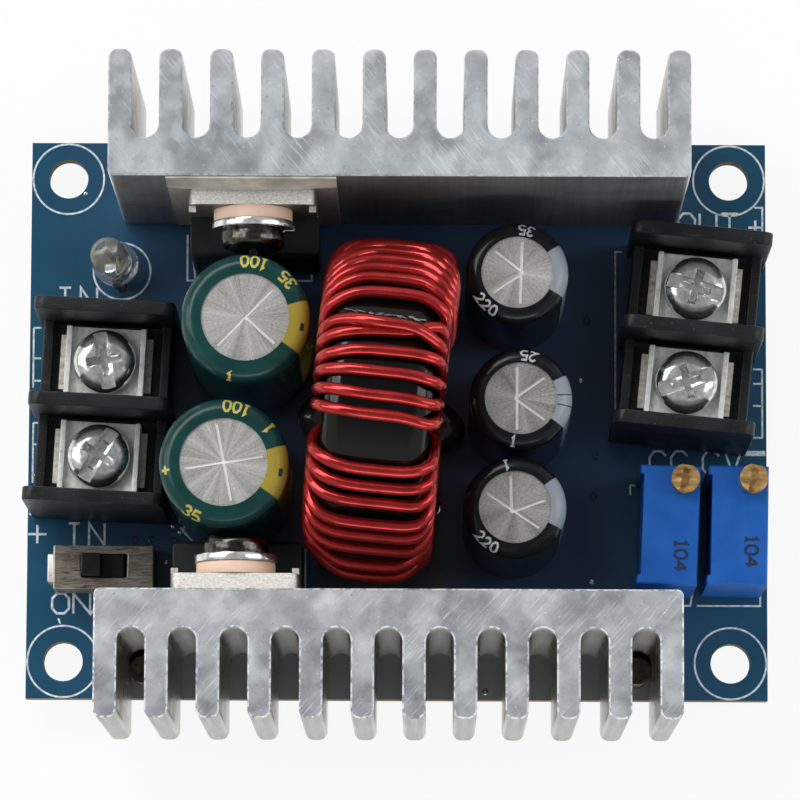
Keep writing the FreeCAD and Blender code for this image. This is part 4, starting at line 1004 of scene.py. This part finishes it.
inner = join_pieces([settle(piece, beige_tin) for piece in (cup, post, bond_wire)],
                    "lamp_cup_and_post")
inner.data.transform(Matrix.Translation(lamp_bend) @ lean @ Matrix.Translation(-lamp_bend))
print("lamp inside", len(inner.data.polygons), "faces, top",
      round(max(v.co.z for v in inner.data.vertices) / mm, 2))

# %% [markdown]
# ## Print
#
# The white print on the board is a pen's line: the same width everywhere, with mitred corners.
# We write each mark as a few strokes on a flat sheet, turn every stroke into a ribbon of that width,
# and give it a hair of thickness. The same strokes serve for the board, for the blue trimmers and,
# carried over the round shoulder of a can, for the marks on the sleeves.


# %% Ribbons from strokes
def ribbon(points, width):
    """Left and right edges of a stroke with mitred corners, as pairs of flat points."""
    closed = (Vector(points[0]) - Vector(points[-1])).length < 1e-6
    spots = [Vector(point) for point in points]
    pairs = []
    for index, spot in enumerate(spots):
        before = spots[index - 1] if index else (spots[-2] if closed else None)
        after = spots[index + 1] if index < len(spots) - 1 else (spots[1] if closed else None)
        ways = [(spot - before).normalized()] if before is not None else []
        ways += [(after - spot).normalized()] if after is not None else []
        way = sum(ways, Vector((0, 0))).normalized()
        side = Vector((-way.y, way.x))
        reach = width / 2 / max(0.35, abs(way.dot(ways[0])))
        pairs.append((spot + side * reach, spot - side * reach))
    return pairs


def divided(points, longest):
    """The same stroke with no run longer than a length, so that it can follow a curved surface."""
    out = [Vector(points[0])]
    for point in points[1:]:
        start, end = out[-1], Vector(point)
        pieces = max(1, math.ceil((end - start).length / longest))
        out += [start.lerp(end, step / pieces) for step in range(1, pieces + 1)]
    return out


ink_height, height_step, ink_sink = 0.02, 0.004, 0.004


def print_marks(name, strokes, width, surface, longest=50.0):
    """Ribbons laid on a surface, which turns a flat point and a height into a place in millimetres.
    Neighbouring strokes differ a little in height, so no two faces share a plane where strokes meet."""
    spots, faces = [], []
    for index, stroke in enumerate(strokes):
        pairs = ribbon(divided(stroke, longest), width)
        first, count = len(spots), len(pairs)
        for height in (0.0, ink_height + height_step * (index % 3)):
            for left, right in pairs:
                spots += [surface(left, height), surface(right, height)]
        for step in range(count - 1):
            low, high = first + 2 * step, first + 2 * count + 2 * step
            faces += [(high, high + 1, high + 3, high + 2), (low, low + 2, low + 3, low + 1),
                      (low, high, high + 2, low + 2), (low + 1, low + 3, high + 3, high + 1)]
        for end in (0, 2 * (count - 1)):
            low, high = first + end, first + 2 * count + end
            faces.append((low, low + 1, high + 1, high))
    mesh = bpy.data.meshes.new(name)
    mesh.from_pydata([Vector(spot) * mm for spot in spots], [], faces)
    piece = add_object(name, mesh)
    edit_all(piece)
    bpy.ops.mesh.normals_make_consistent(inside=False)
    bpy.ops.object.mode_set(mode="OBJECT")
    return piece


print("ribbon helpers ready")

# %% Pen letters
round_letter = [(0.2, 0), (0, 0.25), (0, 0.75), (0.2, 1), (0.5, 1), (0.7, 0.75), (0.7, 0.25), (0.5, 0),
                (0.2, 0)]
pen = {
    "I": [[(0.3, 0), (0.3, 1)], [(0.05, 1), (0.55, 1)]],
    "N": [[(0, 0), (0, 1), (0.7, 0), (0.7, 1)]],
    "O": [round_letter],
    "U": [[(0, 1), (0, 0.25), (0.2, 0), (0.5, 0), (0.7, 0.25), (0.7, 1)]],
    "T": [[(0, 1), (0.7, 1)], [(0.35, 0), (0.35, 1)]],
    "C": [[(0.7, 0.8), (0.5, 1), (0.2, 1), (0, 0.75), (0, 0.25), (0.2, 0), (0.5, 0), (0.7, 0.2)]],
    "V": [[(0, 1), (0.35, 0), (0.7, 1)]],
    "/": [[(0, 0), (0.6, 1)]],
    "+": [[(0, 0.5), (0.8, 0.5)], [(0.4, 0.1), (0.4, 0.9)]],
    "-": [[(0, 0.5), (0.7, 0.5)]],
    "|": [[(0, 0), (0, 1)]],
    "0": [[(0.2, 0), (0, 0.25), (0, 0.75), (0.2, 1), (0.45, 1), (0.6, 0.75), (0.6, 0.25), (0.45, 0),
           (0.2, 0)]],
    "1": [[(0.1, 0.8), (0.3, 1), (0.3, 0)], [(0.1, 0), (0.5, 0)]],
    "2": [[(0, 0.8), (0.2, 1), (0.45, 1), (0.6, 0.8), (0.6, 0.6), (0, 0), (0.62, 0)]],
    "3": [[(0, 0.85), (0.2, 1), (0.45, 1), (0.6, 0.8), (0.45, 0.55), (0.25, 0.55)],
          [(0.45, 0.55), (0.6, 0.3), (0.45, 0), (0.2, 0), (0, 0.15)]],
    "4": [[(0.45, 0), (0.45, 1)], [(0.45, 1), (0, 0.35), (0.65, 0.35)]],
    "5": [[(0.6, 1), (0.05, 1), (0, 0.55), (0.4, 0.6), (0.6, 0.4), (0.6, 0.2), (0.4, 0), (0, 0.05)]],
}


def write(word, place, height, turn=0.0, gap=0.32, stretch=1.0):
    """Strokes of a word from its lower left corner, turned about that corner."""
    lines, along = [], 0.0
    turned = Matrix.Rotation(math.radians(turn), 2)
    for letter in word:
        for stroke in pen[letter]:
            lines.append([Vector(place) + turned @ (Vector((x * stretch + along, y)) * height)
                          for x, y in stroke])
        along += max(x for stroke in pen[letter] for x, y in stroke) * stretch + gap
    return lines


def arc(centre, radius, first=0.0, last=360.0, step=7.5):
    """Points along an arc, angles in degrees."""
    count = max(2, round((last - first) / step))
    angles = [math.radians(first + (last - first) * index / count) for index in range(count + 1)]
    points = [Vector(centre) + radius * Vector((math.cos(angle), math.sin(angle))) for angle in angles]
    if last - first > 359:
        points[-1] = points[0].copy()
    return points


print(len(pen), "pen letters")

# %% Board ink
ink = Finish("board_ink", paint(196, 208, 216), 0.55)
worn_ink = ink.noise(ink.coords(), 2.6, detail=4.0)
ink.colour(ink.mix(ink.fade(worn_ink, 0.32, 0.6), paint(160, 177, 190), paint(226, 236, 242)))
ink.bump(worn_ink, 0.01)


def level_at(top):
    """A level surface for print, a hair sunk so that the ink has no gap under it."""
    return lambda spot, height: (spot.x, spot.y, top - ink_sink + height)


print("board ink ready")

# %% The board's outlines
hole_x, hole_y, ring_radius = 27.0, 19.8, 2.9
fine = [arc((side * hole_x, level * hole_y), ring_radius) for side in (-1, 1) for level in (-1, 1)]
fine += [arc(lamp_foot.xy, 2.33), arc((-13.2, -5.8), 5.35, 215, 262)]
fine += [
    [(-17.22, 15.2), (-17.22, 11.43), (-7.06, 11.43), (-7.06, 15.2)], [(-16.9, 14.6), (-16.55, 11.5)],
    [(-17.6, -10.53), (-17.6, -15.5)], [(-7.43, -10.6), (-7.43, -15.5)],
    [(18.3, 13.91), (17.73, 13.91), (17.71, -1.33), (22.02, -1.31)],
    [(24.3, -15.11), (29.43, -15.11), (29.43, -13.6)], [(24.01, -13.81), (23.76, -15.11), (22.9, -15.11)],
    [(19.35, -5.3), (18.92, -5.3), (18.92, -6.1)],
    [(-27.7, -8.12), (-22.9, -8.12)], [(-27.42, -16.3), (-27.25, -16.75)],
    [(29.1, 17.6), (29.75, 17.6), (29.75, 13.5)],
]
ladders = [(-29.7, 0.62, 7.48, 2.54, (7.48, 4.97, 3.12)), (-29.65, 0.62, -0.34, -5.26, (-0.34, -2.1, -4.6)),
           (29.67, -0.75, 4.25, -1.37, (4.25, 3.06, 1.25, -1.37))]
for x, reach, top, bottom, rungs in ladders:
    fine.append([(x, top), (x, bottom)])
    fine += [[(x, rung), (x + reach, rung)] for rung in rungs]
fine_print = print_marks("board_outlines", fine, 0.15, level_at(board_top))
print(len(fine), "outlines")

# %% The board's letters
letters = write("IN", (-27.75, 8.9), 1.9, gap=0.42) + write("IN", (-26.75, -10.36), 1.8, gap=0.42)
letters += write("ON", (-27.93, -15.9), 1.62, gap=0.22, stretch=1.2) + write("/", (-24.75, -15.9), 1.62)
letters += write("OUT", (22.88, 15.15), 1.95, gap=0.2) + write("CC", (20.5, -4.4), 1.9, gap=0.22)
letters += write("CV", (24.82, -4.4), 1.9, gap=0.24)
letters += [
    [(28.6, 15.95), (29.75, 15.95)], [(29.17, 16.55), (29.17, 15.35)],
    [(-29.95, -9.45), (-28.45, -9.45)], [(-29.2, -8.7), (-29.2, -10.2)],
    [(-29.9, -7.8), (-28.6, -7.8)], [(-29.85, -7.15), (-28.65, -7.15), (-28.65, -7.5)],
]
letter_print = print_marks("board_letters", letters, 0.19, level_at(board_top))
bar = print_marks("board_minus_bar", [[(28.1, -2.65), (29.9, -2.65)]], 0.42, level_at(board_top))
board_print = join_pieces([settle(piece, ink) for piece in (fine_print, letter_print, bar)],
                          "board_print")
print("board print", len(board_print.data.polygons), "faces")

# %% Tinned dots and via rims
dots = []
for x, y, radius in ((-22.16, -8.34, 0.2), (-18.18, -8.73, 0.2), (-17.6, -9.22, 0.2), (-18.72, -11.67, 0.22),
                     (-0.17, 14.27, 0.22), (7.18, -22.15, 0.26), (-20.9, 7.0, 0.2), (14.9, 3.3, 0.22),
                     (15.8, -13.2, 0.22), (-25.6, 18.6, 0.16)):
    clear_selection()
    bpy.ops.mesh.primitive_uv_sphere_add(segments=14, ring_count=8, radius=radius * mm,
                                         location=(x * mm, y * mm, board_top * mm))
    bpy.context.object.scale.z = 0.22
    dots.append(settle(bpy.context.object, solder, smooth=60))
join_pieces(dots, "tinned_dots")
via_rim = moulded("via_rim", (8, 18, 34), (16, 32, 56), 0.3, 4.0, 0.01)
vias = []
for x, y in ((-21.3, -9.9), (-19.87, -9.88), (-18.16, -9.96), (-16.38, -9.87), (15.9, -6.2), (16.1, -2.9),
             (15.4, 8.2), (-16.9, 9.6)):
    clear_selection()
    bpy.ops.mesh.primitive_torus_add(major_radius=0.24 * mm, minor_radius=0.07 * mm, major_segments=20,
                                     minor_segments=8, location=(x * mm, y * mm, board_top * mm))
    bpy.context.object.scale.z = 0.4
    vias.append(settle(bpy.context.object, via_rim, smooth=60))
join_pieces(vias, "via_rims")
print(len(dots), "dots and", len(vias), "vias")

# %% Marks on the trimmers
dark_ink = Finish("trimmer_ink", paint(10, 22, 52), 0.5)
worn = dark_ink.noise(dark_ink.coords(), 5.0, detail=3.0)
dark_ink.colour(dark_ink.mix(dark_ink.fade(worn, 0.35, 0.6), paint(6, 14, 36), paint(12, 32, 74)))
trimmer_top = 11.6
for name, x, y, turn in (("current_trimmer_mark", 22.13, -10.79, -92.2),
                         ("voltage_trimmer_mark", 27.72, -10.44, -91.1)):
    strokes = write("104", (x, y), 0.96, turn, gap=0.27, stretch=1.2)
    settle(print_marks(name, strokes, 0.2, level_at(trimmer_top)), dark_ink)
print("two trimmer marks")


# %% Marks on the sleeves
round_radius = 1.05


def shoulder_of(node, reading_radius):
    """A surface for print on a sleeve: across runs round the can at the reading radius, up runs in towards
    the middle from the sleeve's widest line, along the rounded shoulder."""
    low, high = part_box(node)
    x, y, top = (value / mm for value in top_middle(node))
    radius = (high.x - low.x) / 2 / mm

    def surface(spot, height):
        angle = spot.x / reading_radius
        way = min(spot.y / round_radius, math.pi / 2)
        flat_run = max(0.0, spot.y - round_radius * math.pi / 2)
        lift = round_radius + height - 0.003
        out = radius - round_radius + lift * math.cos(way) - flat_run
        rise = top - round_radius + lift * math.sin(way)
        return (x + out * math.cos(angle), y + out * math.sin(angle), rise)

    return surface


def sleeve_marks(name, node, words, finish, width):
    """Prints words over a sleeve's shoulder, each with its start angle, height and foot."""
    low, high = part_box(node)
    reading_radius = (high.x - low.x) / 2 / mm - 0.35
    strokes = []
    for word, angle, height, foot in words:
        strokes += write(word, (math.radians(angle) * reading_radius, foot), height, gap=0.28)
    marks = print_marks(name, strokes, width, shoulder_of(node, reading_radius), longest=0.25)
    settle(marks, finish)


yellow_ink = moulded("yellow_ink", (168, 150, 60), (204, 190, 96), 0.35, 4.0, 0.004)
pale_ink = moulded("pale_ink", (160, 168, 174), (206, 212, 216), 0.35, 4.0, 0.004)
green_dash = moulded("green_dash", (14, 46, 44), (20, 58, 56), 0.3, 4.0, 0.004)
line_ink = moulded("stripe_line_ink", (14, 16, 19), (30, 34, 38), 0.4, 4.0, 0.004)
for level, words in (("upper", [("100", 68, 0.95, 0.7), ("35", 33, 0.95, 0.7), ("1", -108, 1.0, 0.1)]),
                     ("lower", [("+", -176, 0.9, 0.6), ("35", -130, 0.95, 0.35), ("100", 64, 0.95, 0.7),
                                ("1", 34, 0.95, 0.7)])):
    sleeve_marks(level + "_green_numerals", "input_capacitor_" + level + "_sleeve", words, yellow_ink,
                 0.2)
for level in ("upper", "lower"):
    sleeve_marks(level + "_green_dash", "input_capacitor_" + level + "_sleeve", [("-", -14, 0.9, 0.65)],
                 green_dash, 0.34)
for level, words in (("upper", [("35", 68, 0.85, 0.75), ("220", -150, 0.85, 0.6)]),
                     ("middle", [("25", 70, 0.85, 0.75), ("1", -104, 0.85, 0.7)]),
                     ("lower", [("220", -145, 0.85, 0.6), ("1", 98, 0.85, 0.75)])):
    sleeve_marks(level + "_black_numerals", "output_capacitor_" + level + "_sleeve", words, pale_ink,
                 0.17)
sleeve_marks("middle_stripe_lines", "output_capacitor_middle_sleeve",
             [("|", 5, 1.7, 0.1), ("|", -9, 1.7, 0.1)], line_ink, 0.09)
print("marks on five sleeves")

# %% [markdown]
# ## Small things round the packages
#
# The thermal pad's upper end is folded against the sink as a thin strip that bows away at its lower edge,
# and two small bright nibs at the tab's lower corners are painted highlights made as pieces. On the core,
# above the crossed turns, a few flakes of varnish have lifted. Each is a small block or ball, shaped, and
# the nibs and flakes are copied, the flakes with chance turns.

# %% The pad's folded end
package_x = {"transistor": -11.35, "rectifier": -12.5}
strip_length, strip_top, strip_height = 13.3, 24.25, 3.0
strip_bow, strip_wave = 0.42, 0.18
strip = add_block("pad_end_strip", (strip_length, 0.16, strip_height),
                  (package_x["transistor"], 15.99, strip_top - strip_height / 2))
take(strip)
bpy.ops.object.transform_apply(location=True, rotation=False, scale=True)
edit_all(strip)
bpy.ops.mesh.subdivide(number_cuts=14)
bpy.ops.object.mode_set(mode="OBJECT")
for corner in strip.data.vertices:
    share = (corner.co.x / mm - package_x["transistor"]) / (strip_length / 2)
    low_share = max(0.0, (strip_top - corner.co.z / mm) / strip_height)
    corner.co.y -= strip_bow * mm * low_share ** 2 * (1 - 0.6 * share * share)
    corner.co.z += strip_wave * mm * low_share * math.sin(2.6 * share + 0.6)
strip_grey = moulded("pad_strip", (150, 145, 134), (222, 216, 204), 0.6, 5.0, 0.03)
settle(strip, strip_grey, smooth=40)
print("one strip", len(strip.data.polygons), "faces")

# %% Highlight nibs and flakes
# painted highlights: small bright blocks at the tab's lower corners stand in for the light caught there
nib_offset, nib_height = 4.72, 19.42
highlight_nibs = []
for middle_x, face_y, way in ((package_x["transistor"], 14.5, -1), (package_x["rectifier"], -14.5, 1)):
    for side in (-1, 1):
        nib_place = (middle_x + side * nib_offset, face_y + way * 0.2, nib_height)
        highlight_nib = add_block("highlight_nib", (0.55, 0.5, 0.24), nib_place)
        add_modifier(highlight_nib, "BEVEL", width=0.04 * mm, segments=2)
        highlight_nibs.append(settle(highlight_nib, beige_tin))
join_pieces(highlight_nibs, "tab_highlight_nibs")
varnish = moulded("lifted_varnish", (96, 92, 88), (150, 146, 142), 0.5, 4.0, 0.02)
flakes = []
flake_count, flake_run, flake_angle = 14, 5.8, 27.6
for index in range(flake_count):
    clear_selection()
    bpy.ops.mesh.primitive_ico_sphere_add(subdivisions=1, radius=mm)
    flake = bpy.context.object
    across = -flake_run / 2 + flake_run * index / (flake_count - 1) + luck.uniform(-0.2, 0.2)
    flake.scale = (luck.uniform(0.16, 0.42), luck.uniform(0.05, 0.12), luck.uniform(0.04, 0.09))
    flake.location = wire_point(across, 12.17, flake_angle + luck.uniform(-0.5, 0.5) - 0.25 * across) * mm
    flake.rotation_euler = (math.radians(-27), math.radians(luck.uniform(-20, 20)),
                            coil_turn + math.radians(luck.uniform(-25, 12)))
    flakes.append(settle(flake, varnish))
join_pieces(flakes, "varnish_flakes")
print(len(highlight_nibs), "nibs and", len(flakes), "flakes")
